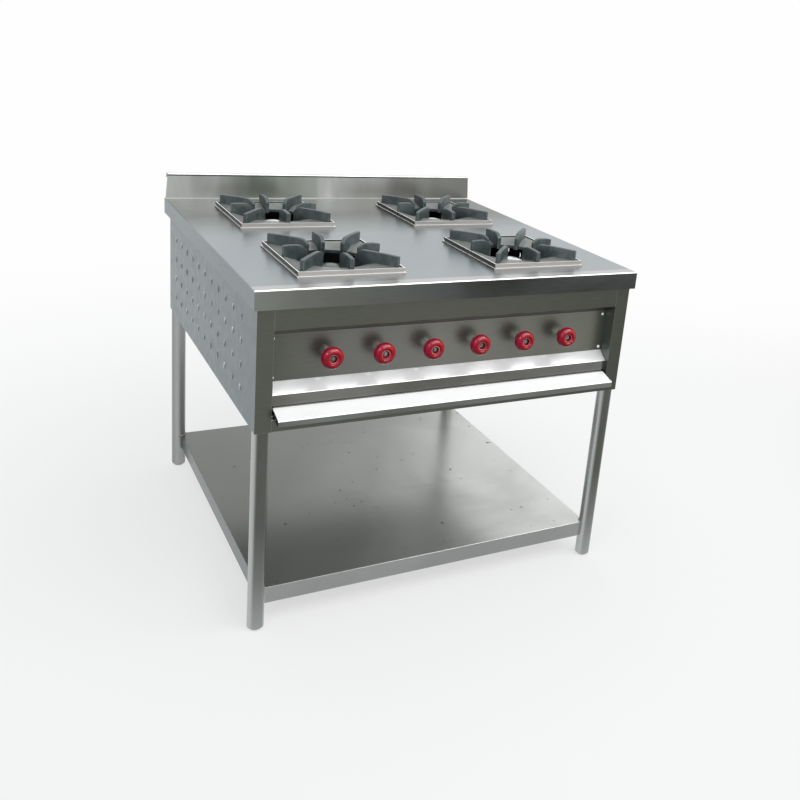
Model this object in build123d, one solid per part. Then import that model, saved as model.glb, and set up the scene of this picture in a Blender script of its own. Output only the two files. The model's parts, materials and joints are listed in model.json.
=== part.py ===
from build123d import *
from math import atan2, degrees, hypot
import os

# Four-burner open gas range: folded stainless sheet on four pipe legs, with cast-iron pan supports.
# Millimetres, +Z up, front towards -Y. The origin is on the floor, under the middle of the range.

# Overall sizes
top_width = 1010.0
top_depth = 991.0
work_height = 850.0
tray_reach = 25.0

# Sheet and bends
sheet = 1.5
panel_sheet = 1.2
bend_radius = 2.5
seat_gap = 0.3
cut_margin = 1.0

# Hob top and splashback
apron_height = 45.0
apron_return = 8.0
top_edge_radius = 3.0
splash_height = 75.0
splash_depth = 18.0
splash_return = 14.0
splash_end_slant = 6.0

# Body under the top
side_overhang = 9.5
front_overhang = 10.5
rear_overhang = 37.0
body_bottom = 515.0
flange_return = 18.0
post_face = 38.5
post_depth = 80.0

# Front of the body
top_rail_height = 95.0
panel_recess = 39.5
panel_top = 732.0
panel_bottom = 621.0
tab_width = 22.0
ledge_setback = 11.5
ledge_front = 598.5
ledge_bottom = 571.0
ledge_return = 18.0
bottom_rail_top = 545.0

# Half-moon vents punched through the side panels
vent_columns = 11
vent_rows = 4
vent_first = 138.0
vent_last = 127.0
vent_top_row = 750.0
vent_row_pitch = 57.3
vent_radius = 9.5
vent_depth = 6.0

# Drip tray and its runners
tray_clearance = 8.0
tray_flange_inset = 4.8
tray_front_gap = 2.0
tray_rear_gap = 30.0
tray_floor = 547.3
tray_wall = 21.5
tray_lip_height = 16.0
tray_lip_top = 555.5
tray_hem = 6.0
runner_leg = 25.0
runner_front_gap = 2.0

# Legs, feet and undershelf
leg_diameter = 40.0
leg_wall = 1.5
leg_inset = 0.5
leg_plate_thickness = 5.0
foot_height = 9.0
foot_chamfer = 6.0
foot_spigot = 28.0
foot_fit = 0.1
foot_relief = 0.2
shelf_height = 104.0
shelf_flange = 43.0
shelf_set_in = 6.0
shelf_front_set = 2.0
stiffener_width = 60.0
stiffener_depth = 26.0

# Burner places
burner_left_inset = 249.0
burner_right_inset = 256.0
front_burner_inset = 227.0
rear_burner_inset = 277.0
hob_opening_margin = 5.0

# Pan frames
frame_width = 260.0
frame_depth = 292.0
frame_height = 14.0
frame_hem = 7.0
frame_base = 3.0
frame_foot_out = 3.0
frame_ledge = 8.0
frame_ledge_height = 4.0

# Cast-iron pan supports
support_gap = 1.5
support_thickness = 8.0
dish_margin = 7.5
dish_drop = 9.0
hole_radius = 88.0
fin_thickness = 10.0
fin_inner_radius = 66.0
fin_peak_radius = 90.0
fin_edge_margin = 3.5
fin_corner_margin = 11.0
fin_peak = 25.5
fin_outer_top = 23.5
fin_inner_top = 13.0
fin_inner_foot = 17.0
fin_root = 6.0
fin_back_rise = 1.0
fin_nose_in = 2.0
fin_nose_rise = 3.0

# Burners
head_radius = 50.0
head_top_drop = 36.0
head_height = 20.0
head_port_count = 12
head_port_width = 2.5
head_port_depth = 5.0
head_port_base = 10.0
head_port_height = 6.0
head_chamfer = 2.0
head_spigot_radius = 30.0
head_spigot = 10.0
head_fit = 0.3
bowl_radius = 54.0
bowl_neck_radius = 26.0
bowl_depth = 40.0
bowl_wall = 5.0
bowl_rim = 12.0
horn_radius = 16.0
horn_wall = 3.5
horn_length = 95.0
horn_drop = 22.0
horn_mouth_radius = 21.0
horn_flare = 14.0
rail_width = 44.0
rail_depth = 20.0

# Gas train
knob_count = 6
knob_left_gap = 134.0
knob_right_gap = 147.0
knob_height = 681.0
manifold_radius = 13.5
manifold_back = 105.0
manifold_overhang = 42.0
manifold_inset = 70.5
manifold_bend = 30.0
inlet_radius = 10.48
inlet_length = 20.0
inlet_neck_radius = 9.8
inlet_neck = 16.0
inlet_tip_gap = 16.0
inlet_hole_clearance = 1.5
bracket_thickness = 3.0
bracket_height = 44.0
bracket_margin = 6.0
valve_across = 22.0
valve_neck_radius = 9.0
valve_neck_clearance = 0.6
valve_back = 81.0
nipple_radius = 8.0
outlet_radius = 7.0
outlet_height = 19.0
outlet_back = 78.0
gland_across = 20.0
gland_length = 12.0
tube_radius = 4.0
riser_radius = 3.0
tube_bend = 8.0
front_tube_rise = 22.0
rear_tube_rise = 17.0
tube_run_in = 24.0
rear_tube_run_in = 32.0
rear_tube_level_end = 72.0
injector_radius = 6.5
injector_length = 16.0
injector_gap = 4.0
pilot_forward = 31.0
pilot_radius = 5.0
pilot_top_drop = 42.0
pilot_height = 14.0
pilot_chamfer = 1.5

# Knobs and spindles
knob_radius = 26.0
knob_thickness = 28.0
knob_standoff = 40.2
hub_radius = 10.5
hub_length = 6.0
knob_hole_radius = 8.0
knob_hole_floor = 15.0
knob_face_radius = 16.5
knob_face_step = 3.5
knob_face_bevel = 2.0
knob_back_crown = 3.2
knob_back_shoulder = 4.5
knob_widest = 12.0
knob_front_round = 2.0
knob_front_rise = 4.5
knob_small_bevel = 1.0
spindle_radius = 4.0
running_clearance = 0.05
spindle_depth = 16.0
spindle_end_gap = 1.0
spindle_tip = 1.5
spindle_collar_radius = 7.0
spindle_collar = 5.0
nut_across = 10.0
nut_thickness = 4.0
screw_radius = 4.0
screw_head = 2.2
screw_shank = 2.0
screw_length = 4.5
screw_head_bevel = 1.0
screw_inset = 9.0
screw_clearance = 0.2

# Places that follow from the sizes above
front_y = tray_reach - (top_depth + tray_reach) / 2
rear_y = front_y + top_depth
half_top = top_width / 2
half_body = half_top - side_overhang
body_front = front_y + front_overhang
body_rear = rear_y - rear_overhang
body_top = work_height - sheet
post_inner = half_body - post_face
panel_y = body_front + panel_recess
ledge_y = body_front + ledge_setback
leg_radius = leg_diameter / 2
leg_x = half_body - leg_inset - leg_radius
leg_front_y = body_front + leg_inset + leg_radius
leg_rear_y = body_rear - leg_inset - leg_radius
frame_top = work_height + frame_height
ledge_z = work_height + frame_ledge_height
frame_wall = 2 * sheet
clear_width = frame_width - 2 * frame_wall
clear_depth = frame_depth - 2 * frame_wall
mouth_width = clear_width - 2 * frame_ledge
mouth_depth = clear_depth - 2 * frame_ledge
support_width = clear_width - 2 * support_gap
support_depth = clear_depth - 2 * support_gap
support_top = ledge_z + support_thickness
dish_radius = support_width / 2 - dish_margin
hob_opening_radius = mouth_width / 2 - hob_opening_margin
head_top = frame_top - head_top_drop
bowl_top = head_top - head_height
bowl_bottom = bowl_top - bowl_depth
horn_z = bowl_top - horn_drop
knob_y = panel_y - knob_standoff
vent_pitch = (top_depth - vent_first - vent_last) / (vent_columns - 1)
tray_front = ledge_y + tray_front_gap
tray_back = body_rear - tray_rear_gap
burner_rows = {"front": front_y + front_burner_inset, "rear": rear_y - rear_burner_inset}
burner_sides = {"left": burner_left_inset - half_top, "right": half_top - burner_right_inset}
knob_first = knob_left_gap - post_inner
knob_pitch = (2 * post_inner - knob_left_gap - knob_right_gap) / (knob_count - 1)
knob_xs = [knob_first + knob_pitch * i for i in range(knob_count)]
manifold_left = knob_first - manifold_overhang
manifold_right = half_body - manifold_inset


# Common shapes

def block(x0, x1, y0, y1, z0, z1):
    """Box between three pairs of limits."""
    return Pos((x0 + x1) / 2, (y0 + y1) / 2, (z0 + z1) / 2) * Box(x1 - x0, y1 - y0, z1 - z0)


def folded(points, gauge, side=Side.LEFT):
    """Section of a folded sheet whose outer face follows the points."""
    path = FilletPolyline(*points, radius=bend_radius)
    return make_face(offset(Wire(path.edges()), amount=gauge, side=side, closed=True))


def along_x(section, x0, x1):
    """Section drawn as (y, z), pulled along X."""
    return Pos(x0, 0, 0) * extrude(Plane.YZ * section, x1 - x0)


def along_y(section, y0, y1):
    """Section drawn as (x, z), pulled along Y."""
    return Pos(0, y1, 0) * extrude(Plane.XZ * section, y1 - y0)


def upright(radius, x, y, z0, z1):
    """Cylinder along Z."""
    return Pos(x, y, (z0 + z1) / 2) * Cylinder(radius, z1 - z0)


def lying(radius, x, z, y0, y1):
    """Cylinder along Y."""
    return Pos(x, (y0 + y1) / 2, z) * Rot(90, 0, 0) * Cylinder(radius, y1 - y0)


def turned_z(points):
    """Solid of revolution about Z from (radius, z) points."""
    return revolve(Plane.XZ * make_face(Polyline(*points, close=True)), Axis.Z)


def mirrored(shape):
    """Same shape on the other side of the middle plane."""
    return mirror(shape, Plane.YZ)


def group(shapes):
    """Separate solids kept together."""
    return Compound([solid for shape in shapes for solid in shape.solids()])


def largest(shape):
    """Largest of the solids that a cut leaves."""
    return max(shape.solids(), key=lambda solid: solid.volume)


# Hob top and splashback

def make_hob_top():
    """Sheet turned down on all four sides, with a round opening for each burner."""
    mid_y = (front_y + rear_y) / 2
    mid_z = work_height - apron_height / 2
    shell = Pos(0, mid_y, mid_z) * Box(top_width, top_depth, apron_height)
    shell = fillet(shell.edges().group_by(Axis.Z)[-1], top_edge_radius)
    inner = block(-half_top + sheet, half_top - sheet, front_y + sheet, rear_y - sheet,
                  work_height - apron_height + sheet, body_top)
    mouth = block(-half_top + apron_return, half_top - apron_return, front_y + apron_return,
                  rear_y - apron_return, work_height - apron_height, body_top)
    shell = shell - inner - mouth
    for x in burner_sides.values():
        for y in burner_rows.values():
            shell -= upright(hob_opening_radius, x, y, body_top - cut_margin,
                             work_height + cut_margin)
    return shell


def make_splashback():
    """Upstand along the rear edge, folded back over its top and down its back."""
    foot = work_height
    top = work_height + splash_height
    front = rear_y - splash_depth
    section = folded([(front, foot), (front, top), (rear_y, top), (rear_y, top - splash_return)],
                     sheet, Side.RIGHT)
    splash = along_x(section, -half_top, half_top)
    slant = make_face(Polyline((half_top, foot), (half_top, top),
                               (half_top - splash_end_slant, top), close=True))
    offcut = along_y(slant, front, rear_y)
    return splash - offcut - mirrored(offcut)


# Body panels

def vent_section():
    """Half-moon opening, its round side towards the front."""
    round_side = ThreePointArc((0, vent_radius), (-vent_depth, 0), (0, -vent_radius))
    chord = Line((0, -vent_radius), (0, vent_radius))
    return make_face([*round_side.edges(), *chord.edges()])


def make_side_panel():
    """Right-hand side sheet with returns at top and bottom and rows of half-moon vents."""
    inner = half_body - flange_return
    section = folded([(inner, body_bottom), (half_body, body_bottom), (half_body, body_top),
                      (inner, body_top)], panel_sheet)
    panel = along_y(section, body_front + sheet, body_rear)
    cutter = extrude(Plane.YZ * vent_section(), panel_sheet + 2 * cut_margin)
    cutters = []
    for row in range(vent_rows):
        for column in range(vent_columns):
            y = front_y + vent_first + column * vent_pitch
            z = vent_top_row - row * vent_row_pitch
            cutters.append(Pos(half_body - panel_sheet - cut_margin, y, z) * cutter)
    return panel - cutters


def make_rear_panel(side_panels):
    """Rear sheet between the side panels, with the hole for the gas inlet."""
    inner = body_rear - flange_return
    section = folded([(inner, body_bottom), (body_rear, body_bottom), (body_rear, body_top),
                      (inner, body_top)], panel_sheet)
    half = half_body - panel_sheet - seat_gap
    panel = along_x(section, -half, half)
    panel -= lying(inlet_radius + inlet_hole_clearance, manifold_right, knob_height,
                   body_rear - panel_sheet - cut_margin, body_rear + cut_margin)
    for side_panel in side_panels:
        panel -= side_panel
    return largest(panel)


def make_post():
    """Right-hand front post: face, inner wall and the tab that carries the control panel."""
    wall_end = body_front + post_depth
    face = block(post_inner, half_body, body_front, body_front + sheet, body_bottom, body_top)
    wall = block(post_inner, post_inner + sheet, body_front, wall_end, body_bottom, body_top)
    tab = block(post_inner - tab_width, post_inner + sheet, panel_y + sheet, panel_y + 2 * sheet,
                panel_bottom + seat_gap, panel_top)
    post = face + wall + tab
    for z in (panel_top - screw_inset, panel_bottom + screw_inset):
        post -= lying(screw_shank, post_inner - screw_inset, z, panel_y,
                      panel_y + screw_length)
    return post


def make_front_top_rail():
    """Rail between the posts, behind the apron, with a return along its lower edge."""
    low = body_top - top_rail_height
    section = folded([(body_front + flange_return, low), (body_front, low),
                      (body_front, body_top)], sheet, Side.RIGHT)
    return along_x(section, -post_inner + seat_gap, post_inner - seat_gap)


def make_control_panel():
    """Recessed plate between the posts, drilled for six valves and four screws."""
    half = post_inner - seat_gap
    panel = block(-half, half, panel_y, panel_y + sheet, panel_bottom, panel_top)
    near = panel_y - cut_margin
    far = panel_y + sheet + cut_margin
    holes = [lying(valve_neck_radius + valve_neck_clearance, x, knob_height, near, far)
             for x in knob_xs]
    for x in (-post_inner + screw_inset, post_inner - screw_inset):
        for z in (panel_top - screw_inset, panel_bottom + screw_inset):
            holes.append(lying(screw_shank + screw_clearance, x, z, near, far))
    return panel - holes


def make_control_ledge():
    """Sloped ledge under the control panel, turned down as the lower rail."""
    section = folded([(panel_y + sheet, panel_bottom - seat_gap), (ledge_y, ledge_front),
                      (ledge_y, ledge_bottom), (ledge_y + ledge_return, ledge_bottom)], sheet)
    return along_x(section, -post_inner + seat_gap, post_inner - seat_gap)


def make_front_bottom_rail():
    """Rail under the drip tray's slot, with returns at both edges."""
    back = body_front + flange_return
    section = folded([(back, body_bottom), (body_front, body_bottom),
                      (body_front, bottom_rail_top), (back, bottom_rail_top)], sheet, Side.RIGHT)
    return along_x(section, -post_inner + seat_gap, post_inner - seat_gap)


def make_panel_screws():
    """Four bevelled screws that hold the control panel to the posts' tabs."""
    screws = []
    for x in (-post_inner + screw_inset, post_inner - screw_inset):
        for z in (panel_top - screw_inset, panel_bottom + screw_inset):
            head = lying(screw_radius, x, z, panel_y - screw_head, panel_y)
            head = chamfer(head.edges().group_by(Axis.Y)[0], screw_head_bevel)
            shank = lying(screw_shank, x, z, panel_y - screw_head, panel_y + screw_length)
            screws.append(head + shank)
    return group(screws)


# Drip tray

def make_drip_tray():
    """Shallow tray whose front flange slopes out of the slot and ends in a lip."""
    half = post_inner - tray_clearance
    flange_half = post_inner - tray_flange_inset
    rim = tray_floor + tray_wall
    pan = block(-half, half, tray_front, tray_back, tray_floor, rim)
    pan -= block(-half + panel_sheet, half - panel_sheet, tray_front + panel_sheet,
                 tray_back - panel_sheet, tray_floor + panel_sheet, rim)
    lip_y = front_y - tray_reach + panel_sheet
    lip_foot = tray_lip_top - tray_lip_height
    section = folded([(tray_front, rim - tray_wall / 2), (tray_front, rim - panel_sheet),
                      (lip_y, tray_lip_top - panel_sheet), (lip_y, lip_foot + panel_sheet),
                      (lip_y + tray_hem, lip_foot + panel_sheet)], panel_sheet, Side.RIGHT)
    return pan + along_x(section, -flange_half, flange_half)


def make_tray_runners():
    """Two angle runners that the tray's floor slides on."""
    outer = post_inner - seat_gap
    top = tray_floor - seat_gap
    section = folded([(outer - runner_leg, top - sheet), (outer, top - sheet),
                      (outer, top - sheet + runner_leg)], sheet)
    start = body_front + flange_return + runner_front_gap
    runner = along_y(section, start, body_rear - panel_sheet - seat_gap)
    return group([runner, mirrored(runner)])


# Legs and undershelf

def leg_places():
    """Names and places of the four legs."""
    rows = {"front": leg_front_y, "rear": leg_rear_y}
    sides = {"left": -leg_x, "right": leg_x}
    return {f"{row}_{side}": (x, y) for row, y in rows.items() for side, x in sides.items()}


def make_leg(x, y):
    """Pipe leg from its foot to the underside of the body."""
    pipe = upright(leg_radius, x, y, foot_height, body_bottom)
    return pipe - upright(leg_radius - leg_wall, x, y, foot_height, body_bottom)


def make_leg_feet():
    """Four chamfered plugs pushed into the lower ends of the legs."""
    tip = leg_radius - foot_chamfer
    side = leg_radius - foot_relief
    spigot = leg_radius - leg_wall - foot_fit
    foot = turned_z([(0, 0), (tip, 0), (side, foot_chamfer), (side, foot_height),
                     (spigot, foot_height),
                     (spigot, foot_height + foot_spigot), (0, foot_height + foot_spigot)])
    return group([Pos(x, y, 0) * foot for x, y in leg_places().values()])


def make_leg_plates(neighbours):
    """Four corner plates inside the body, on top of the legs."""
    plates = []
    for x, y in leg_places().values():
        reach = leg_radius - leg_inset
        plate = block(x - reach, x + reach, y - reach, y + reach, body_bottom,
                      body_bottom + leg_plate_thickness)
        for neighbour in neighbours:
            plate -= neighbour
        plates.append(largest(plate))
    return group(plates)


def make_undershelf():
    """Shelf turned down on four sides, its corners cut round the legs."""
    half = leg_x - shelf_set_in
    front = leg_front_y - shelf_front_set
    back = leg_rear_y + shelf_front_set
    low = shelf_height - shelf_flange
    shelf = block(-half, half, front, back, low, shelf_height)
    shelf = fillet(shelf.edges().group_by(Axis.Z)[-1], sheet)
    shelf -= block(-half + sheet, half - sheet, front + sheet, back - sheet, low,
                   shelf_height - sheet)
    notches = [upright(leg_radius + seat_gap, x, y, low - cut_margin, shelf_height + cut_margin)
               for x, y in leg_places().values()]
    return shelf - notches


def make_shelf_stiffener():
    """Hat channel across the underside of the shelf."""
    under = shelf_height - sheet
    half = stiffener_width / 2
    brim = half + flange_return
    low = under - stiffener_depth
    middle = (leg_front_y + leg_rear_y) / 2
    outline = [(-brim, under), (-half, under), (-half, low), (half, low), (half, under),
               (brim, under)]
    section = folded([(middle + u, v) for u, v in outline], sheet, Side.RIGHT)
    reach = leg_x - shelf_set_in - sheet - seat_gap
    return along_x(section, -reach, reach)


# Pan frames and pan supports

def frame_ring(out, inner_width, inner_depth, z0, z1):
    """Rectangular ring whose outer faces stand out from the frame's by some distance."""
    half_x = frame_width / 2 + out
    half_y = frame_depth / 2 + out
    ring = block(-half_x, half_x, -half_y, half_y, z0, z1)
    return ring - block(-inner_width / 2, inner_width / 2, -inner_depth / 2, inner_depth / 2, z0, z1)


def make_pan_frame():
    """Raised frame: thin foot, wall hemmed outwards at its top, and a ledge for the support."""
    foot = frame_ring(frame_foot_out, mouth_width, mouth_depth, work_height,
                      work_height + frame_base)
    ledge = frame_ring(-sheet, mouth_width, mouth_depth, work_height, ledge_z)
    wall = frame_ring(-sheet, clear_width, clear_depth, work_height, frame_top)
    hem = frame_ring(0, clear_width, clear_depth, frame_top - frame_hem, frame_top)
    return foot + ledge + wall + hem


def fin_section(outer_radius):
    """Side view of one fin as (radius, z), arched along its top."""
    foot = support_top - fin_root
    peak = frame_top + fin_peak
    outer_top = frame_top + fin_outer_top
    inner_top = frame_top + fin_inner_top
    inner_foot = frame_top - fin_inner_foot
    rim_foot = foot - dish_drop
    back_middle = ((outer_radius + fin_peak_radius) / 2, (outer_top + peak) / 2 + fin_back_rise)
    back = ThreePointArc((outer_radius, outer_top), back_middle, (fin_peak_radius, peak))
    nose_middle = ((fin_peak_radius + fin_inner_radius) / 2 - fin_nose_in,
                   (peak + inner_top) / 2 + fin_nose_rise)
    nose = ThreePointArc((fin_peak_radius, peak), nose_middle, (fin_inner_radius, inner_top))
    rest = Polyline((fin_inner_radius, inner_top), (fin_inner_radius, inner_foot),
                    (hole_radius, min(inner_foot, rim_foot)), (dish_radius, foot),
                    (outer_radius, foot), (outer_radius, outer_top))
    return make_face([*back.edges(), *nose.edges(), *rest.edges()])


def make_pan_support():
    """Cast plate, dished to a round hole, with eight arched fins that carry the pan."""
    half_x = support_width / 2
    half_y = support_depth / 2
    plate = block(-half_x, half_x, -half_y, half_y, ledge_z, support_top)
    plate -= upright(dish_radius, 0, 0, ledge_z, support_top)
    dish = turned_z([(dish_radius, ledge_z), (dish_radius, support_top),
                     (hole_radius, support_top - dish_drop), (hole_radius, ledge_z - dish_drop)])
    support = plate + dish
    middles = [(half_x, 0), (0, half_y), (-half_x, 0), (0, -half_y)]
    corners = [(half_x, half_y), (-half_x, half_y), (-half_x, -half_y), (half_x, -half_y)]
    for ends, margin in ((middles, fin_edge_margin), (corners, fin_corner_margin)):
        for x, y in ends:
            section = fin_section(hypot(x, y) - margin)
            fin = extrude(Plane.XZ * section, fin_thickness / 2, both=True)
            support += Rot(0, 0, degrees(atan2(y, x))) * fin
    return support


# Burners

def make_burner_head():
    """Flat round head with flame ports round its edge and a spigot that drops into the bowl."""
    head = upright(head_radius, 0, 0, bowl_top, head_top)
    head = chamfer(head.edges().group_by(Axis.Z)[-1], head_chamfer)
    port_foot = bowl_top + head_port_base
    ports = []
    for i in range(head_port_count):
        port = block(head_radius - head_port_depth, head_radius + cut_margin,
                     -head_port_width / 2, head_port_width / 2, port_foot,
                     port_foot + head_port_height)
        ports.append(Rot(0, 0, i * 360 / head_port_count) * port)
    head -= ports
    return head + upright(head_spigot_radius, 0, 0, bowl_top - head_spigot, bowl_top)


def make_burner():
    """Cast bowl with a mixing horn that opens towards the front."""
    seat = head_spigot_radius + head_fit
    floor = bowl_bottom + bowl_wall
    floor_radius = bowl_neck_radius - bowl_wall
    rim = bowl_top - bowl_rim
    bowl = turned_z([(0, bowl_bottom), (bowl_neck_radius, bowl_bottom), (bowl_radius, rim),
                     (bowl_radius, bowl_top), (seat, bowl_top), (seat, rim),
                     (floor_radius, floor), (0, floor)])
    cavity = turned_z([(0, floor), (floor_radius, floor), (seat, rim), (seat, bowl_top),
                       (0, bowl_top)])
    mouth = -bowl_radius - horn_length
    horn = lying(horn_radius, 0, horn_z, mouth, -bowl_neck_radius)
    flare = Cone(horn_mouth_radius, horn_radius, horn_flare,
                 align=(Align.CENTER, Align.CENTER, Align.MIN))
    horn += Pos(0, mouth, horn_z) * Rot(-90, 0, 0) * flare
    passage = lying(horn_radius - horn_wall, 0, horn_z, mouth - cut_margin, -floor_radius)
    return bowl + (horn - cavity) - passage


def make_burner_rails():
    """Two hat channels from side panel to side panel, one under each row of burners."""
    reach = half_body - panel_sheet - seat_gap
    rails = []
    for y in burner_rows.values():
        half = rail_width / 2
        low = bowl_bottom - rail_depth
        section = folded([(y - half, low), (y - half, bowl_bottom), (y + half, bowl_bottom),
                          (y + half, low)], sheet, Side.RIGHT)
        rails.append(along_x(section, -reach, reach))
    return group(rails)


# Gas train

def tube(points, radius, bend):
    """Round bar bent along the points."""
    pieces = []
    for edge in FilletPolyline(*points, radius=bend).edges():
        section = Plane(origin=edge @ 0, z_dir=edge % 0) * Circle(radius)
        if edge.geom_type == GeomType.LINE:
            pieces.append(extrude(section, edge.length))
        else:
            turn = Axis(edge.arc_center, (edge % 0).cross(edge % 1))
            pieces.append(revolve(section, turn, degrees(edge.length / bend)))
    bar = pieces[0]
    for piece in pieces[1:]:
        bar += piece
    return bar


def make_gas_manifold():
    """Supply pipe behind the panel, turned back to the threaded inlet at the rear."""
    inlet_tip = rear_y - inlet_tip_gap
    thread_start = inlet_tip - inlet_length
    shoulder = thread_start - inlet_neck
    back = front_y + manifold_back
    pipe = tube([(manifold_left, back, knob_height), (manifold_right, back, knob_height),
                 (manifold_right, shoulder, knob_height)], manifold_radius, manifold_bend)
    neck = lying(inlet_neck_radius, manifold_right, knob_height, shoulder, thread_start)
    return pipe + neck + lying(inlet_radius, manifold_right, knob_height, thread_start, inlet_tip)


def make_manifold_brackets(manifold):
    """Plates that carry the manifold on the back of the control panel."""
    back = front_y + manifold_back
    plates = []
    for x in (knob_xs[0] + knob_pitch / 2, knob_xs[-1] - knob_pitch / 2):
        half = bracket_height / 2
        plate = block(x - bracket_thickness / 2, x + bracket_thickness / 2, panel_y + sheet,
                      back + manifold_radius + bracket_margin, knob_height - half,
                      knob_height + half)
        plates.append(plate - manifold)
    return group(plates)


def make_valve_bodies(manifold):
    """Six brass needle-valve bodies between the control panel and the manifold."""
    bodies = []
    start = panel_y + sheet
    end = front_y + valve_back
    for x in knob_xs:
        half = valve_across / 2
        body = block(x - half, x + half, start, end, knob_height - half, knob_height + half)
        body += lying(valve_neck_radius, x, knob_height, panel_y, start)
        body += lying(nipple_radius, x, knob_height, end, front_y + manifold_back)
        body += upright(outlet_radius, x, front_y + outlet_back, knob_height,
                        knob_height + outlet_height)
        body -= lying(spindle_radius + running_clearance, x, knob_height, panel_y - cut_margin,
                      panel_y + spindle_depth + spindle_end_gap)
        body -= manifold
        bodies.append(largest(body))
    return group(bodies)


def make_gland_nuts():
    """Six hexagon gland nuts on the front of the control panel."""
    nuts = []
    for x in knob_xs:
        hexagon = RegularPolygon(gland_across / 2, 6, major_radius=False)
        nut = Pos(x, panel_y, knob_height) * extrude(Plane.XZ * hexagon, gland_length)
        nuts.append(nut - lying(spindle_radius + running_clearance, x, knob_height,
                                panel_y - gland_length - cut_margin, panel_y + cut_margin))
    return group(nuts)


def injector_place(side, row):
    """Back face of the injector that blows into a burner's horn."""
    mouth = burner_rows[row] - bowl_radius - horn_length
    return burner_sides[side], mouth - injector_gap


def make_burner_tubes():
    """Four supply tubes from the main valves to the injectors."""
    start_y = front_y + outlet_back
    start_z = knob_height + outlet_height
    tubes = []
    for side, row, knob in (("left", "front", 0), ("left", "rear", 2), ("right", "rear", 3),
                            ("right", "front", 5)):
        x, tip = injector_place(side, row)
        end = tip - injector_length
        valve_x = knob_xs[knob]
        if row == "front":
            points = [(valve_x, start_y, start_z), (valve_x, start_y, start_z + front_tube_rise),
                      (x, end - tube_run_in, horn_z), (x, end, horn_z)]
        else:
            low = start_z + rear_tube_rise
            points = [(valve_x, start_y, start_z), (valve_x, start_y, low),
                      (valve_x, end - rear_tube_level_end, low),
                      (x, end - rear_tube_run_in, horn_z), (x, end, horn_z)]
        tubes.append(tube(points, tube_radius, tube_bend))
    return group(tubes)


def make_injectors():
    """Four brass injectors, one at the mouth of each horn."""
    injectors = []
    for side in burner_sides:
        for row in burner_rows:
            x, tip = injector_place(side, row)
            injectors.append(lying(injector_radius, x, horn_z, tip - injector_length, tip))
    return group(injectors)


def pilot_places():
    """Valve column, and place along Y, of each pilot burner."""
    return [(knob_xs[knob], y - pilot_forward) for knob in (1, 4) for y in burner_rows.values()]


def make_pilot_tubes():
    """Two pilot tubes, each with a riser at both burners of its side."""
    start_y = front_y + outlet_back
    start_z = knob_height + outlet_height
    top = frame_top - pilot_top_drop - pilot_height
    low = start_z + rear_tube_rise
    tubes = []
    for knob in (1, 4):
        x = knob_xs[knob]
        last = burner_rows["rear"] - pilot_forward
        first = burner_rows["front"] - pilot_forward
        line = tube([(x, start_y, start_z), (x, start_y, low), (x, last, low), (x, last, top)],
                    tube_radius, tube_bend)
        tubes.append(line + upright(riser_radius, x, first, low, top))
    return group(tubes)


def make_pilot_burners():
    """Four small pilot heads beside the burners."""
    top = frame_top - pilot_top_drop
    heads = []
    for x, y in pilot_places():
        head = upright(pilot_radius, x, y, top - pilot_height, top)
        heads.append(chamfer(head.edges().group_by(Axis.Z)[-1], pilot_chamfer))
    return group(heads)


# Knobs and spindles

def make_knob():
    """Round bakelite knob: domed rim, stepped inner face and a central hole."""
    front = -knob_thickness
    bore = spindle_radius + running_clearance
    face = front + knob_face_step
    hub_foot = hub_radius + knob_small_bevel
    lip = knob_face_radius + knob_face_bevel
    widest = (knob_radius, -knob_widest)
    rim_back = ThreePointArc((hub_foot, 0), (knob_radius - knob_back_shoulder, -knob_back_crown),
                             widest)
    rim_front = ThreePointArc(widest, (knob_radius - knob_front_round, front + knob_front_rise),
                              (lip, front))
    rest = Polyline((lip, front), (knob_face_radius, face),
                    (knob_hole_radius + knob_small_bevel, face),
                    (knob_hole_radius, face + knob_small_bevel),
                    (knob_hole_radius, -knob_hole_floor), (bore, -knob_hole_floor),
                    (bore, hub_length), (hub_radius, hub_length), (hub_foot, 0))
    section = make_face([*rim_back.edges(), *rim_front.edges(), *rest.edges()])
    return revolve(section, Axis.Y)


def make_spindle(x):
    """Valve spindle with the collar behind the knob and the nut that holds the knob."""
    rear = knob_y + knob_thickness / 2
    floor = rear - knob_hole_floor
    spindle = lying(spindle_radius, x, knob_height, floor - nut_thickness - spindle_tip,
                    panel_y + spindle_depth)
    spindle += lying(spindle_collar_radius, x, knob_height, rear + hub_length,
                     rear + hub_length + spindle_collar)
    hexagon = RegularPolygon(nut_across / 2, 6, major_radius=False)
    return spindle + Pos(x, floor, knob_height) * extrude(Plane.XZ * hexagon, nut_thickness)


# The whole range

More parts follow.
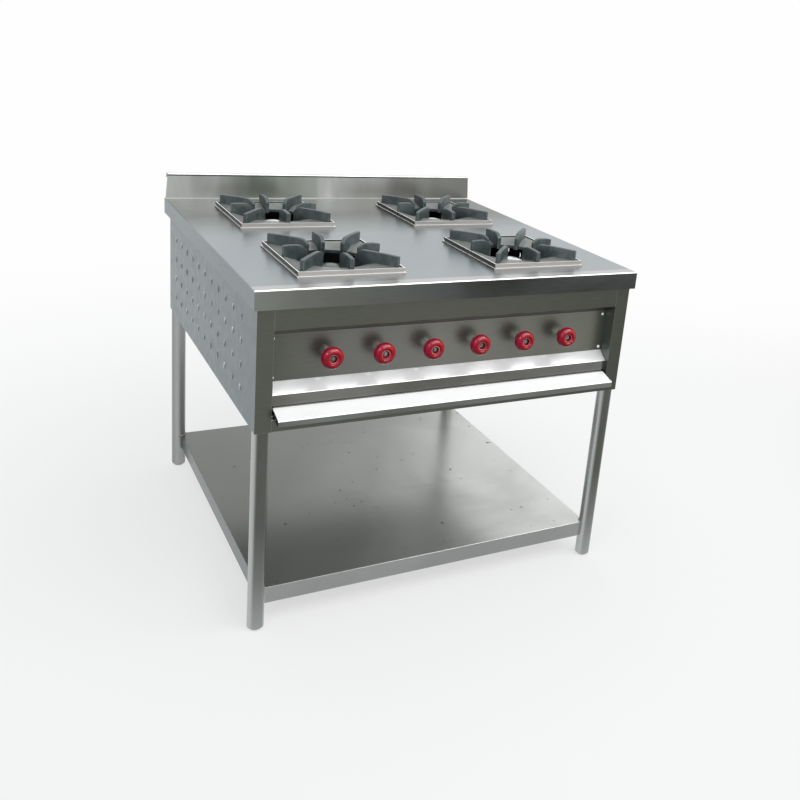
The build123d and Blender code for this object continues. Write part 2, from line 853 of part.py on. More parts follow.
def make_all():
    """Every piece of the range by its name."""
    side_right = make_side_panel()
    side_left = mirrored(side_right)
    rear_panel = make_rear_panel([side_left, side_right])
    post_right = make_post()
    post_left = mirrored(post_right)
    manifold = make_gas_manifold()
    nodes = {
        "hob_top": make_hob_top(),
        "splashback": make_splashback(),
        "side_panel_left": side_left,
        "side_panel_right": side_right,
        "rear_panel": rear_panel,
        "front_left_post": post_left,
        "front_right_post": post_right,
        "front_top_rail": make_front_top_rail(),
        "control_panel": make_control_panel(),
        "control_ledge": make_control_ledge(),
        "front_bottom_rail": make_front_bottom_rail(),
        "panel_screws": make_panel_screws(),
        "drip_tray": make_drip_tray(),
        "tray_runners": make_tray_runners(),
        "leg_feet": make_leg_feet(),
        "leg_plates": make_leg_plates([side_left, side_right, rear_panel, post_left, post_right]),
        "undershelf": make_undershelf(),
        "shelf_stiffener": make_shelf_stiffener(),
        "burner_rails": make_burner_rails(),
        "gas_manifold": manifold,
        "manifold_brackets": make_manifold_brackets(manifold),
        "valve_bodies": make_valve_bodies(manifold),
        "gland_nuts": make_gland_nuts(),
        "burner_tubes": make_burner_tubes(),
        "injectors": make_injectors(),
        "pilot_tubes": make_pilot_tubes(),
        "pilot_burners": make_pilot_burners(),
    }
    for name, (x, y) in leg_places().items():
        nodes[f"leg_{name}"] = make_leg(x, y)
    frame = make_pan_frame()
    support = make_pan_support()
    burner = make_burner()
    head = make_burner_head()
    for row, y in burner_rows.items():
        for side, x in burner_sides.items():
            nodes[f"pan_frame_{row}_{side}"] = Pos(x, y, 0) * frame
            nodes[f"pan_support_{row}_{side}"] = Pos(x, y, 0) * support
            nodes[f"burner_{row}_{side}"] = Pos(x, y, 0) * burner
            nodes[f"burner_head_{row}_{side}"] = Pos(x, y, 0) * head
    knob = make_knob()
    for i, x in enumerate(knob_xs, start=1):
        nodes[f"knob_{i}"] = Pos(x, knob_y + knob_thickness / 2, knob_height) * knob
        nodes[f"spindle_{i}"] = make_spindle(x)
    return nodes


os.makedirs("parts", exist_ok=True)
for node_name, shape in make_all().items():
    export_step(shape, f"parts/{node_name}.step")
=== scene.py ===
# %% [markdown]
# # Dressing an open gas range
# The solid range arrives as a fixed frame: sheets, pipes, burners and knobs at their real size. This lesson
# adds what a solid model can't hold, which is finish. Satin steel, rough iron and glossy knobs each get a
# material built from nodes, and small pressed, welded and turned details get real geometry.

# %% Load the frame
import math

import bmesh
import bpy
from mathutils import Matrix, Vector
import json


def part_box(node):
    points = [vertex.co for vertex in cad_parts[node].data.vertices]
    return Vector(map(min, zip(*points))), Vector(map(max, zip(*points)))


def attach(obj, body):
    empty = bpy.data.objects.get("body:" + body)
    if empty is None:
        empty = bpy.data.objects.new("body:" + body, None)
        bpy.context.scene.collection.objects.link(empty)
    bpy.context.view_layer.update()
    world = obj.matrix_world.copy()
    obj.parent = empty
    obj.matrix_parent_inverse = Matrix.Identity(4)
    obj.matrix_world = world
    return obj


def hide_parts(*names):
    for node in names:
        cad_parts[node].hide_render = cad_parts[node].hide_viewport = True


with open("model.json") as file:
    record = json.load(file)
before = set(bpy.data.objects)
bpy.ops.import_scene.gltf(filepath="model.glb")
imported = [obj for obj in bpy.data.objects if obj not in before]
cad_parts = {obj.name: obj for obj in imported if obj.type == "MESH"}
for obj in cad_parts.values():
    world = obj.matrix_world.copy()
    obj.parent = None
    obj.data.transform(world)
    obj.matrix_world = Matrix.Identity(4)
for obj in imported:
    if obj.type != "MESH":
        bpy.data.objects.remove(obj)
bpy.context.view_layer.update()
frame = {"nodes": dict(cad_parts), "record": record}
nodes = frame["nodes"]
slot_of = {part["node"]: part["material_slot"] for part in frame["record"]["subparts"]}
range_body = "range_body"
rows = ("front", "rear")
sides = ("left", "right")
print("pieces in the frame:", len(nodes))

# %% [markdown]
# ## The camera
# The photo is taken from the front left, a little above the hob, with the camera tipped to one side. A long
# lens keeps the pipe legs nearly upright. The angles below turn the camera; the shift only slides the frame.

# %% Camera
camera_place = Vector((-1.020, -2.3316, 1.4182))
camera_turn = math.radians(31.0)
camera_tilt = math.radians(16.4)
camera_roll = math.radians(5.9)
lens_mm = 41.6
frame_shift = (-0.123, -0.1185)


def aim_camera(place, turn, tilt, roll):
    """Camera that looks along its turn and tilt, then rolls about its own axis."""
    ahead = Vector((math.sin(turn) * math.cos(tilt), math.cos(turn) * math.cos(tilt), -math.sin(tilt)))
    level = Vector((math.cos(turn), -math.sin(turn), 0.0))
    above = level.cross(ahead)
    right = level * math.cos(roll) + above * math.sin(roll)
    up = above * math.cos(roll) - level * math.sin(roll)
    turned = Matrix((right, up, -ahead)).transposed().to_4x4()
    data = bpy.data.cameras.new("camera")
    data.lens = lens_mm
    data.sensor_width = 36.0
    data.shift_x, data.shift_y = frame_shift
    camera = bpy.data.objects.new("camera", data)
    camera.matrix_world = Matrix.Translation(place) @ turned
    bpy.context.scene.collection.objects.link(camera)
    return camera


bpy.context.scene.camera = aim_camera(camera_place, camera_turn, camera_tilt, camera_roll)
print("camera at", list(camera_place), "with a lens of", lens_mm, "mm")

# %% [markdown]
# ## Small helpers
# Colours are written as a paint chart gives them, from 0 to 255, and Blender wants linear values. Node
# sockets are wired by name, so that each material reads like a sentence.

# %% Helpers for colours and nodes
def colour(red, green, blue):
    """Linear colour from a chart colour."""
    def linear(value):
        share = value / 255.0
        return share / 12.92 if share <= 0.04045 else ((share + 0.055) / 1.055) ** 2.4
    return (linear(red), linear(green), linear(blue), 1.0)


def feed(tree, value, socket):
    """Link a socket, or set a plain value."""
    if isinstance(value, bpy.types.NodeSocket):
        tree.links.new(value, socket)
    else:
        socket.default_value = value


def new_group(name, inputs, outputs):
    """Empty shader node group with its sockets, and its two end nodes."""
    group = bpy.data.node_groups.new(name, "ShaderNodeTree")
    for label, kind, value in inputs:
        socket = group.interface.new_socket(label, in_out="INPUT", socket_type=kind)
        socket.default_value = value
    for label, kind in outputs:
        group.interface.new_socket(label, in_out="OUTPUT", socket_type=kind)
    return group, group.nodes.new("NodeGroupInput"), group.nodes.new("NodeGroupOutput")


def mix_colours(tree, factor, first, second):
    """Mix node for colours. Each argument is a socket or a plain value."""
    node = tree.nodes.new("ShaderNodeMix")
    node.data_type = "RGBA"
    for socket, value in ((node.inputs[0], factor), (node.inputs[6], first), (node.inputs[7], second)):
        feed(tree, value, socket)
    return node.outputs[2]


def math_node(tree, operation, first, second=0.0, clamp=False):
    """Math node. Each argument is a socket or a number."""
    node = tree.nodes.new("ShaderNodeMath")
    node.operation = operation
    node.use_clamp = clamp
    feed(tree, first, node.inputs[0])
    feed(tree, second, node.inputs[1])
    return node.outputs[0]


def map_range(tree, value, low, high, to_low=0.0, to_high=1.0, smooth=True):
    """Map of a value from one range to another."""
    node = tree.nodes.new("ShaderNodeMapRange")
    node.interpolation_type = "SMOOTHSTEP" if smooth else "LINEAR"
    tree.links.new(value, node.inputs["Value"])
    for label, number in (("From Min", low), ("From Max", high), ("To Min", to_low), ("To Max", to_high)):
        node.inputs[label].default_value = number
    return node.outputs["Result"]


def noise_node(tree, vector, scale, detail=2.0, distortion=0.0):
    """Noise over a vector."""
    node = tree.nodes.new("ShaderNodeTexNoise")
    node.inputs["Detail"].default_value = detail
    node.inputs["Distortion"].default_value = distortion
    tree.links.new(vector, node.inputs["Vector"])
    feed(tree, scale, node.inputs["Scale"])
    return node.outputs["Fac"]


def stretch(tree, vector, factors):
    """Vector multiplied along each axis."""
    node = tree.nodes.new("ShaderNodeVectorMath")
    node.operation = "MULTIPLY"
    tree.links.new(vector, node.inputs[0])
    feed(tree, factors, node.inputs[1])
    return node.outputs[0]


def object_place(tree):
    """The point on the surface, in the range's own frame."""
    return tree.nodes.new("ShaderNodeTexCoord").outputs["Object"]


def axes_of(tree, vector):
    """The three parts of a vector."""
    node = tree.nodes.new("ShaderNodeSeparateXYZ")
    tree.links.new(vector, node.inputs[0])
    return node.outputs["X"], node.outputs["Y"], node.outputs["Z"]


def surface_normal(tree):
    """The surface's own normal."""
    return tree.nodes.new("ShaderNodeNewGeometry").outputs["Normal"]


print("chart grey 128 is", round(colour(128, 128, 128)[0], 3), "in linear light")

# %% [markdown]
# ## Brushed grain
# Sheet steel is rubbed with an abrasive belt, which leaves thousands of fine lines along one direction.
# Noise squeezed hard across that direction gives the same streaks. It is a group, because every steel on
# the range uses it with its own direction.

# %% Group: brushed grain
def brushed_grain_group():
    """Fine streaks and a broader mottle along one direction."""
    group, given, result = new_group(
        "brushed_grain",
        [("Squeeze", "NodeSocketVector", (1.0, 60.0, 60.0)), ("Scale", "NodeSocketFloat", 24.0)],
        [("Fine", "NodeSocketFloat"), ("Broad", "NodeSocketFloat")])
    squeezed = stretch(group, object_place(group), given.outputs["Squeeze"])
    for label, share, detail in (("Fine", 1.0, 3.0), ("Broad", 0.12, 2.0)):
        scale = math_node(group, "MULTIPLY", given.outputs["Scale"], share)
        group.links.new(noise_node(group, squeezed, scale, detail), result.inputs[label])
    return group


brushed_grain = brushed_grain_group()
print("group:", brushed_grain.name, "with", len(brushed_grain.nodes), "nodes")

# %% [markdown]
# ## Smears
# Steel that has been handled carries cloudy patches where hands and cloths went over it. A bent noise gives
# clouds with no repeat, and its contrast is an input, so a wiped panel and a stained shelf share one group.

# %% Group: smears
def smears_group():
    """Soft clouds between 0 and 1."""
    group, given, result = new_group(
        "smears",
        [("Scale", "NodeSocketFloat", 4.0), ("Sharpness", "NodeSocketFloat", 0.3),
         ("Pull", "NodeSocketVector", (1.0, 1.0, 1.0))],
        [("Mask", "NodeSocketFloat")])
    pulled = stretch(group, object_place(group), given.outputs["Pull"])
    cloud = noise_node(group, pulled, given.outputs["Scale"], 3.0, 0.8)
    spread = math_node(group, "DIVIDE", math_node(group, "SUBTRACT", cloud, 0.5), given.outputs["Sharpness"])
    group.links.new(math_node(group, "ADD", spread, 0.5, clamp=True), result.inputs["Mask"])
    return group


smears = smears_group()
print("group:", smears.name, "with", len(smears.nodes), "nodes")

# %% [markdown]
# ## Painted light by facing
# Each face of a folded sheet takes light and reflections of its own, painted here into its colour as painted
# light by facing. The group reads the surface's own normal, never the camera, and hands out one of three
# tones.

# %% Group: painted light by facing
looks_up = (0.15, 0.55)
looks_aside = (0.5, 0.9)


def painted_facing_light_group():
    """Painted light: one tone for faces that look up, one for front and rear, one for the sides."""
    grey = (0.4, 0.4, 0.4, 1.0)
    group, given, result = new_group(
        "painted_facing_light", [(label, "NodeSocketColor", grey) for label in ("Up", "Front", "Side")],
        [("Tone", "NodeSocketColor")])
    across, _, upward = axes_of(group, surface_normal(group))
    sideways = map_range(group, math_node(group, "ABSOLUTE", across), *looks_aside)
    upwards = map_range(group, upward, *looks_up)
    flat = mix_colours(group, sideways, given.outputs["Front"], given.outputs["Side"])
    group.links.new(mix_colours(group, upwards, flat, given.outputs["Up"]), result.inputs["Tone"])
    return group


painted_facing_light = painted_facing_light_group()
print("group:", painted_facing_light.name, "with", len(painted_facing_light.nodes), "nodes")

# %% [markdown]
# ## Bright edges
# A bent sheet gets a painted highlight along its fold, and a casting's edges are lighter, partly worn by pans
# that slide over them and partly a painted highlight. The Bevel node finds both: where its rounded normal
# leaves the true one, there is an edge.

# %% Group: bright edges
def bright_edges_group():
    """Mask along every edge, as wide as its reach."""
    group, given, result = new_group("bright_edges", [("Reach", "NodeSocketFloat", 0.002)],
                                     [("Mask", "NodeSocketFloat")])
    rounded = group.nodes.new("ShaderNodeBevel")
    rounded.samples = 8
    group.links.new(given.outputs["Reach"], rounded.inputs["Radius"])
    match = group.nodes.new("ShaderNodeVectorMath")
    match.operation = "DOT_PRODUCT"
    group.links.new(rounded.outputs["Normal"], match.inputs[0])
    group.links.new(surface_normal(group), match.inputs[1])
    away = math_node(group, "SUBTRACT", 1.0, match.outputs["Value"])
    group.links.new(map_range(group, away, 0.01, 0.14), result.inputs["Mask"])
    return group


bright_edges = bright_edges_group()
print("group:", bright_edges.name, "with", len(bright_edges.nodes), "nodes")

# %% [markdown]
# ## Materials
# A material starts from one shader. The groups above are set into it as single nodes, and what changes over
# a piece is wired to the shader's sockets. A bump comes last, from a height that was made before it.

# %% Helpers for materials
mid_noise = (0.3, 0.7)


def tones(*charts):
    """Linear colours from a few chart colours, for a ramp."""
    return [colour(*chart) for chart in charts]


def use_group(tree, group, **values):
    """Group node in a material, with values or sockets for its inputs."""
    node = tree.nodes.new("ShaderNodeGroup")
    node.node_tree = group
    for label, value in values.items():
        feed(tree, value, node.inputs[label])
    return node


def new_material(name):
    """Material with its tree and its Principled shader."""
    material = bpy.data.materials.new(name)
    material.use_nodes = True
    return material, material.node_tree, material.node_tree.nodes["Principled BSDF"]


def add_bump(tree, shader, height, strength, distance):
    """Bump from a height socket into a shader's normal."""
    bump = tree.nodes.new("ShaderNodeBump")
    bump.inputs["Strength"].default_value = strength
    bump.inputs["Distance"].default_value = distance
    tree.links.new(height, bump.inputs["Height"])
    tree.links.new(bump.outputs["Normal"], shader.inputs["Normal"])


print("most of a noise lies between", *mid_noise)

# %% [markdown]
# ## Tones over the range
# A long sheet mirrors everything round it and lies partly in shade, so its tone changes from one end to the
# other. A ramp over the range paints that in with a few tones, as painted reflection and painted shade. It
# runs from left to right, or along another direction.

# %% Ramps of painted light
ramp_half = 0.5
left_to_right = (1.0, 0.0, 0.0)
front_to_rear = (0.0, 1.0, 0.0)


def painted_light_along(tree, ramp_tones, direction):
    """Ramp of painted reflection and shade over the range, along a direction."""
    reach = tree.nodes.new("ShaderNodeVectorMath")
    reach.operation = "DOT_PRODUCT"
    tree.links.new(object_place(tree), reach.inputs[0])
    reach.inputs[1].default_value = direction
    ramp = tree.nodes.new("ShaderNodeValToRGB")
    stops = ramp.color_ramp.elements
    for index, tone in enumerate(ramp_tones):
        place = index / (len(ramp_tones) - 1)
        stop = stops[index] if index < 2 else stops.new(place)
        stop.position = place
        stop.color = tone
    share = map_range(tree, reach.outputs["Value"], -ramp_half, ramp_half, smooth=False)
    tree.links.new(share, ramp.inputs["Fac"])
    return ramp.outputs["Color"]


print("ramps reach", ramp_half, "m to each side of the middle")

# %% [markdown]
# ## Masks round the pans
# The walls round each pan and the border of each support's plate lie in shade, which is painted into them as
# painted shade. The four supports stand in two rows of two, so two absolute values fold the plan onto one of
# them, and one mask serves all.

# %% Masks round the pans
wall_blend = 0.0004


def box_middle_and_half(name):
    """Middle and half size of a node's box."""
    low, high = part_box(name)
    return (low + high) / 2.0, (high - low) / 2.0


near_middle, plate_half = box_middle_and_half("pan_support_front_left")
far_middle, _ = box_middle_and_half("pan_support_rear_right")
pan_middle = (near_middle + far_middle) / 2.0
pan_step = (far_middle - near_middle) / 2.0


def off_pan_centre(tree):
    """Distance across and along from the middle of the nearest pan support."""
    x, y, _ = axes_of(tree, object_place(tree))
    across = math_node(tree, "ABSOLUTE", math_node(tree, "SUBTRACT", x, pan_middle.x))
    along = math_node(tree, "ABSOLUTE", math_node(tree, "SUBTRACT", y, pan_middle.y))
    return (math_node(tree, "ABSOLUTE", math_node(tree, "SUBTRACT", across, pan_step.x)),
            math_node(tree, "ABSOLUTE", math_node(tree, "SUBTRACT", along, pan_step.y)))


def pan_well(tree, half_x, half_y):
    """Mask for painted shade on the walls inside an oblong round each pan, on faces that don't look up."""
    across, along = off_pan_centre(tree)
    inside_x = map_range(tree, across, half_x, half_x + wall_blend, 1.0, 0.0)
    inside_y = map_range(tree, along, half_y, half_y + wall_blend, 1.0, 0.0)
    _, _, upward = axes_of(tree, surface_normal(tree))
    wall = map_range(tree, upward, 0.4, 0.6, 1.0, 0.0)
    return math_node(tree, "MULTIPLY", math_node(tree, "MULTIPLY", inside_x, inside_y), wall)


def plate_border(tree, half_x, half_y, reach):
    """Mask for painted shade along the border of each pan support's plate."""
    across, along = off_pan_centre(tree)
    near_x = map_range(tree, across, half_x - reach, half_x - reach * 0.5)
    near_y = map_range(tree, along, half_y - reach, half_y - reach * 0.5)
    return math_node(tree, "MAXIMUM", near_x, near_y)


print("pan supports: half sizes", [round(value, 4) for value in plate_half], "step", pan_step)

# %% [markdown]
# ## Folds, specks and crevices
# Some folds get a thin level line of painted highlight, others one of painted shade. Burnt drips leave a few
# small spots on what looks up, and narrow gaps, found by occlusion, get painted shade. Each is a mask between
# 0 and 1, for the recipes below.

# %% Folds, specks and crevices
speck_edge = (0.745, 0.775)
crevice_edge = (0.15, 0.6)


def fold_line(tree, depth, height, reach):
    """Mask round a level line along the range, given by its depth and height."""
    _, y, z = axes_of(tree, object_place(tree))
    off_depth = math_node(tree, "ABSOLUTE", math_node(tree, "SUBTRACT", y, depth))
    off_height = math_node(tree, "ABSOLUTE", math_node(tree, "SUBTRACT", z, height))
    off = math_node(tree, "MAXIMUM", off_depth, off_height)
    return map_range(tree, off, reach * 0.7, reach, 1.0, 0.0)


def specks(tree, scale):
    """Few small spots on faces that look up, as burnt drips leave them."""
    spots = map_range(tree, noise_node(tree, object_place(tree), scale, 1.0), *speck_edge)
    _, _, upward = axes_of(tree, surface_normal(tree))
    return math_node(tree, "MULTIPLY", spots, map_range(tree, upward, 0.5, 0.9))


def crevice_shade(tree, reach):
    """Mask of painted shade in narrow gaps, found by occlusion."""
    open_air = tree.nodes.new("ShaderNodeAmbientOcclusion")
    open_air.samples = 6
    open_air.inputs["Distance"].default_value = reach
    return map_range(tree, open_air.outputs["AO"], *crevice_edge, 0.9, 0.0)


print("specks show where their noise passes", speck_edge[0])

# %% [markdown]
# ## Steel
# Each steel is a metal whose colour is painted light by its facing, with a ramp of painted reflection and
# shade where a sheet's tone changes along it. Clouds, fine grain, fold lines of painted light, painted
# highlights on edges, burnt specks and painted shade round the pans go on top, and the grain also drives
# roughness and a faint bump.
# What looks up can be less of a metal, for a sheet that takes light from above as pale paint does.

# %% Recipe for a steel
along_x = (1.0, 100.0, 100.0)
along_z = (100.0, 100.0, 1.0)
speckled = (12.0, 12.0, 12.0)
# Pure white is painted light: highlights along edges and folds and on the screws, and white light on what
# looks up.
painted_white_light = colour(252, 252, 252)
grain_tone = colour(238, 239, 238)
speck_tone = colour(52, 54, 50)
# The walls round each pan get this dark tone as painted shade.
well_shade = colour(14, 14, 12)


def strip_in_front(tree, depth):
    """Mask on all that lies in front of a depth."""
    _, y, _ = axes_of(tree, object_place(tree))
    return map_range(tree, y, depth, depth + 0.002, 1.0, 0.0)


def with_painted_light_and_stains(tree, finish, folds, spots, well):
    """Finish with painted light along its folds, its burnt specks and painted shade on the walls round the
    pans.
    """
    for *line, tone in folds:
        finish = mix_colours(tree, fold_line(tree, *line), finish, tone)
    if spots:
        finish = mix_colours(tree, specks(tree, spots), finish, speck_tone)
    if well:
        finish = mix_colours(tree, pan_well(tree, *well), finish, well_shade)
    return finish


def less_metal_above(tree, metal, up_metal, in_band):
    """Share of metal that drops on faces that look up, in the whole piece or in a strip."""
    _, _, upward = axes_of(tree, surface_normal(tree))
    share = map_range(tree, upward, *looks_up)
    if in_band is not None:
        share = math_node(tree, "MULTIPLY", share, in_band)
    less = math_node(tree, "MULTIPLY", share, metal - up_metal)
    return math_node(tree, "SUBTRACT", metal, less)


def steel(name, up, front, side, squeeze=along_x, rough=0.3, metal=0.9, cloud_tone=(120, 126, 128),
          cloud=0.2, cloud_scale=4.0, cloud_pull=(1.0, 1.0, 1.0), edge=0.1, reach=0.002, grain=0.03,
          up_along=left_to_right, front_along=left_to_right, up_metal=None, folds=(), band=None,
          spots=0.0, well=None):
    """Satin steel with painted light, a tone for each facing. A list of tones is a ramp of painted light over
    the range.

    folds are level lines of painted light, each with its depth, height, reach and tone. band is a depth, and
    a tone for the strip in front of it. well is half an oblong round each pan, inside which the walls get
    painted shade.
    """
    material, tree, shader = new_material(name)
    up_tone = painted_light_along(tree, up, up_along) if isinstance(up, list) else up
    front_tone = painted_light_along(tree, front, front_along) if isinstance(front, list) else front
    in_band = strip_in_front(tree, band[0]) if band else None
    if band:
        up_tone = mix_colours(tree, in_band, up_tone, band[1])
    tone = use_group(tree, painted_facing_light, Up=up_tone, Front=front_tone, Side=side)
    lines = use_group(tree, brushed_grain, Squeeze=squeeze)
    clouds = use_group(tree, smears, Scale=cloud_scale, Pull=cloud_pull)
    cloudy = math_node(tree, "MULTIPLY", clouds.outputs["Mask"], cloud)
    clouded = mix_colours(tree, cloudy, tone.outputs["Tone"], colour(*cloud_tone))
    brushed = map_range(tree, lines.outputs["Fine"], *mid_noise, 0.0, grain)
    finish = mix_colours(tree, brushed, clouded, grain_tone)
    # Painted highlight along the edges.
    if edge:
        bright = use_group(tree, bright_edges, Reach=reach)
        edge_highlight = math_node(tree, "MULTIPLY", bright.outputs["Mask"], edge)
        finish = mix_colours(tree, edge_highlight, finish, painted_white_light)
    tree.links.new(with_painted_light_and_stains(tree, finish, folds, spots, well), shader.inputs["Base Color"])
    patchy = map_range(tree, lines.outputs["Broad"], *mid_noise, rough - 0.02, rough + 0.03)
    tree.links.new(patchy, shader.inputs["Roughness"])
    shader.inputs["Metallic"].default_value = metal
    if up_metal is not None:
        tree.links.new(less_metal_above(tree, metal, up_metal, in_band), shader.inputs["Metallic"])
    add_bump(tree, shader, lines.outputs["Fine"], strength=0.012, distance=0.0002)
    return material


print("grain along x is squeezed by", along_x, "and along z by", along_z)

# %% [markdown]
# ## Hob and upstand
# The hob's top is painted pale, with a paler strip along its front and painted shade towards its rear, and
# its apron is a painted reflection, lighter at the left and dark at the right. The upstand mirrors what is in
# front of it as broad upright bands of painted reflection. A fold catches light or lies in shade, so each has
# a thin line of painted highlight or painted shade.

# %% Steels of the hob and the upstand
hob_low, hob_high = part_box("hob_top")
splash_low, splash_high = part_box("splashback")
hob_front_strip = hob_low.y + 0.031
# Painted light on folds: highlights at the hob's front and the upstand's foot, shade and a grey line at its
# top.
hob_front_fold = (hob_low.y, hob_high.z, 0.0030, painted_white_light)
splash_foot = (splash_low.y, splash_low.z, 0.0030, painted_white_light)
splash_shade = (splash_low.y, splash_high.z - 0.0045, 0.0026, colour(112, 114, 110))
splash_rear_edge = (splash_high.y, splash_high.z, 0.0045, colour(150, 152, 150))

hob_steel = steel(
    "hob_steel",
    up=tones((156, 163, 166), (150, 158, 162), (154, 162, 165), (92, 96, 92), (90, 94, 90)),
    front=tones((112, 115, 108), (72, 74, 65), (38, 40, 34), (34, 36, 31), (38, 40, 36)),
    side=colour(98, 110, 113), up_along=front_to_rear, edge=0.0,
    cloud_tone=(148, 156, 160), cloud=0.14, cloud_scale=2.6,
    folds=[hob_front_fold], band=(hob_front_strip, colour(192, 192, 190)))
splash_steel = steel(
    "splash_steel", up=painted_white_light,
    front=tones((220, 221, 218), (226, 227, 224), (152, 160, 150), (168, 174, 164), (246, 247, 244),
                (226, 226, 222), (182, 181, 177), (134, 135, 131), (110, 111, 107)),
    side=colour(150, 158, 158), squeeze=along_z, edge=0.0,
    cloud_tone=(124, 128, 122), cloud=0.4, cloud_scale=9.0, cloud_pull=(1.0, 0.2, 0.25),
    folds=[splash_foot, splash_shade, splash_rear_edge])
print("steels:", hob_steel.name, splash_steel.name)

# %% [markdown]
# ## Side sheets and vents
# The side sheets are plain and cloudy, with a grain that has no direction, and their greenish grey is a
# painted reflection. The vents are pressed out of them, which stretches the steel, so they are patchy and
# less of a mirror than the sheet round them; they are painted lighter than the sheet, as a painted highlight.

# %% Steels of the sides
side_steel = steel(
    "side_steel", up=colour(190, 194, 195), front=colour(92, 93, 86), side=colour(92, 106, 109),
    squeeze=speckled, grain=0.04, edge=0.0, cloud_tone=(84, 97, 99), cloud=0.3, cloud_scale=3.0)
vent_steel = steel(
    "vent_steel", up=colour(244, 246, 246), front=colour(120, 124, 120), side=colour(176, 184, 187),
    metal=0.5, edge=0.0, cloud_tone=(92, 100, 102), cloud=1.0, cloud_scale=26.0)
print("steels:", side_steel.name, vent_steel.name)

# %% [markdown]
# ## The front
# Posts, rails, control panel, ledge and tray are each folded from a sheet of their own, and each carries
# painted
# light of its own: dark painted reflections and shade along the front faces, and painted white light on what
# looks up. The ledge and the tray's flange take light from above, and what looks up on them is therefore less
# of a metal than the upright faces.

# %% Steels of the front
tray_low, tray_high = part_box("drip_tray")
flange_top = tray_low.y + 0.0495

front_steel = steel(
    "front_steel", up=painted_white_light, front=tones((82, 85, 76), (80, 82, 74), (66, 68, 61)),
    side=colour(112, 118, 114), cloud_tone=(68, 70, 63))
panel_steel = steel(
    "panel_steel", up=painted_white_light,
    front=tones((72, 74, 66), (112, 113, 108), (114, 115, 109), (106, 108, 99), (112, 114, 104)),
    side=colour(118, 124, 120), rough=0.37, cloud_tone=(80, 82, 75))
ledge_steel = steel(
    "ledge_steel", up=painted_white_light, front=tones((92, 92, 85), (90, 91, 85), (86, 87, 82)),
    side=colour(120, 126, 124), rough=0.15, up_metal=0.3, cloud_tone=(225, 226, 226), cloud=0.1)
tray_steel = steel(
    "tray_steel", up=colour(150, 153, 151), front=tones((88, 96, 90), (94, 97, 91), (88, 90, 86)),
    side=colour(80, 86, 86), up_metal=0.1, cloud_tone=(225, 226, 226), cloud=0.1,
    band=(flange_top, painted_white_light))
print("steels:", front_steel.name, panel_steel.name, ledge_steel.name, tray_steel.name)

# %% [markdown]
# ## Shelf, pan frames and hidden steel
# The shelf is painted darker at its left rear, as painted shade, and lighter at its right front, as painted
# light, with painted highlights on its edges, and drips have burnt a few specks into it. The pan frames are
# painted bright on top, pale in front and dark at the sides, as painted light, with painted shade on the
# walls round the pan. What is inside the body is plain grey steel, because no one wipes it, painted light
# enough that the shade inside the body is not black.

# %% Steels of the shelf, the pan frames and the inside
rear_left_to_front_right = (0.9, -0.5, 0.0)
wall_reach = 0.0018

shelf_steel = steel(
    "shelf_steel",
    up=tones((116, 118, 115), (124, 126, 123), (154, 156, 153), (208, 210, 207), (226, 227, 225)),
    front=tones((158, 160, 159), (154, 156, 155)), side=colour(102, 112, 112),
    up_along=rear_left_to_front_right, rough=0.24, up_metal=0.78, edge=0.5, reach=0.003, spots=60.0,
    cloud_tone=(108, 112, 106), cloud=0.35, cloud_scale=2.2)
frame_steel = steel(
    "frame_steel", up=colour(250, 250, 248), front=colour(184, 178, 173), side=colour(46, 50, 43),
    rough=0.36, up_metal=0.3, edge=0.0, cloud_tone=(150, 148, 142), cloud=0.1, cloud_scale=12.0,
    well=(plate_half.x + wall_reach, plate_half.y + wall_reach))
inner_steel = steel(
    "inner_steel", up=colour(165, 168, 166), front=colour(130, 132, 126), side=colour(130, 134, 131),
    rough=0.42, cloud_tone=(100, 103, 100), cloud=0.3)
print("steels:", shelf_steel.name, frame_steel.name, inner_steel.name)

# %% [markdown]
# ## Legs
# A polished pipe mirrors what stands beside it. The front legs are painted pale near the floor, as a painted
# reflection, and darker above, as painted shade under the body, so their ramp runs up the leg. The rear legs
# stand in shade, and are less of a mirror.

# %% Steels of the legs
up_the_leg = (0.0, 0.0, 1.8)

front_pipe = steel(
    "front_pipe", up=colour(190, 194, 193),
    front=tones((160, 163, 162), (160, 163, 162), (158, 161, 160), (112, 115, 110), (78, 81, 75)),
    side=colour(184, 188, 187), front_along=up_the_leg, squeeze=along_z, rough=0.2, edge=0.0,
    cloud_tone=(110, 114, 112), cloud=0.1)
rear_pipe = steel(
    "rear_pipe", up=colour(190, 194, 193), front=colour(172, 175, 173), side=colour(150, 153, 151),
    metal=0.6, squeeze=along_z, edge=0.0, cloud_tone=(120, 124, 122), cloud=0.1)
print("steels:", front_pipe.name, rear_pipe.name)

# %% [markdown]
# ## Cast iron
# Iron poured in sand keeps the sand's grain, and it is dull. Dust and burnt fat lie on the faces that look
# up, and painted light adds to them, so they are lighter than the flanks; the low plate is painted paler
# still, as a painted sheen. The edges are lighter, partly worn by the pans and partly a painted highlight,
# and narrow gaps and the plate's border get painted shade.

# %% Material: cast iron
gap_shade = colour(14, 14, 13)
dust = colour(94, 102, 102)
sand_scale = 420.0
plate_blend = 0.006


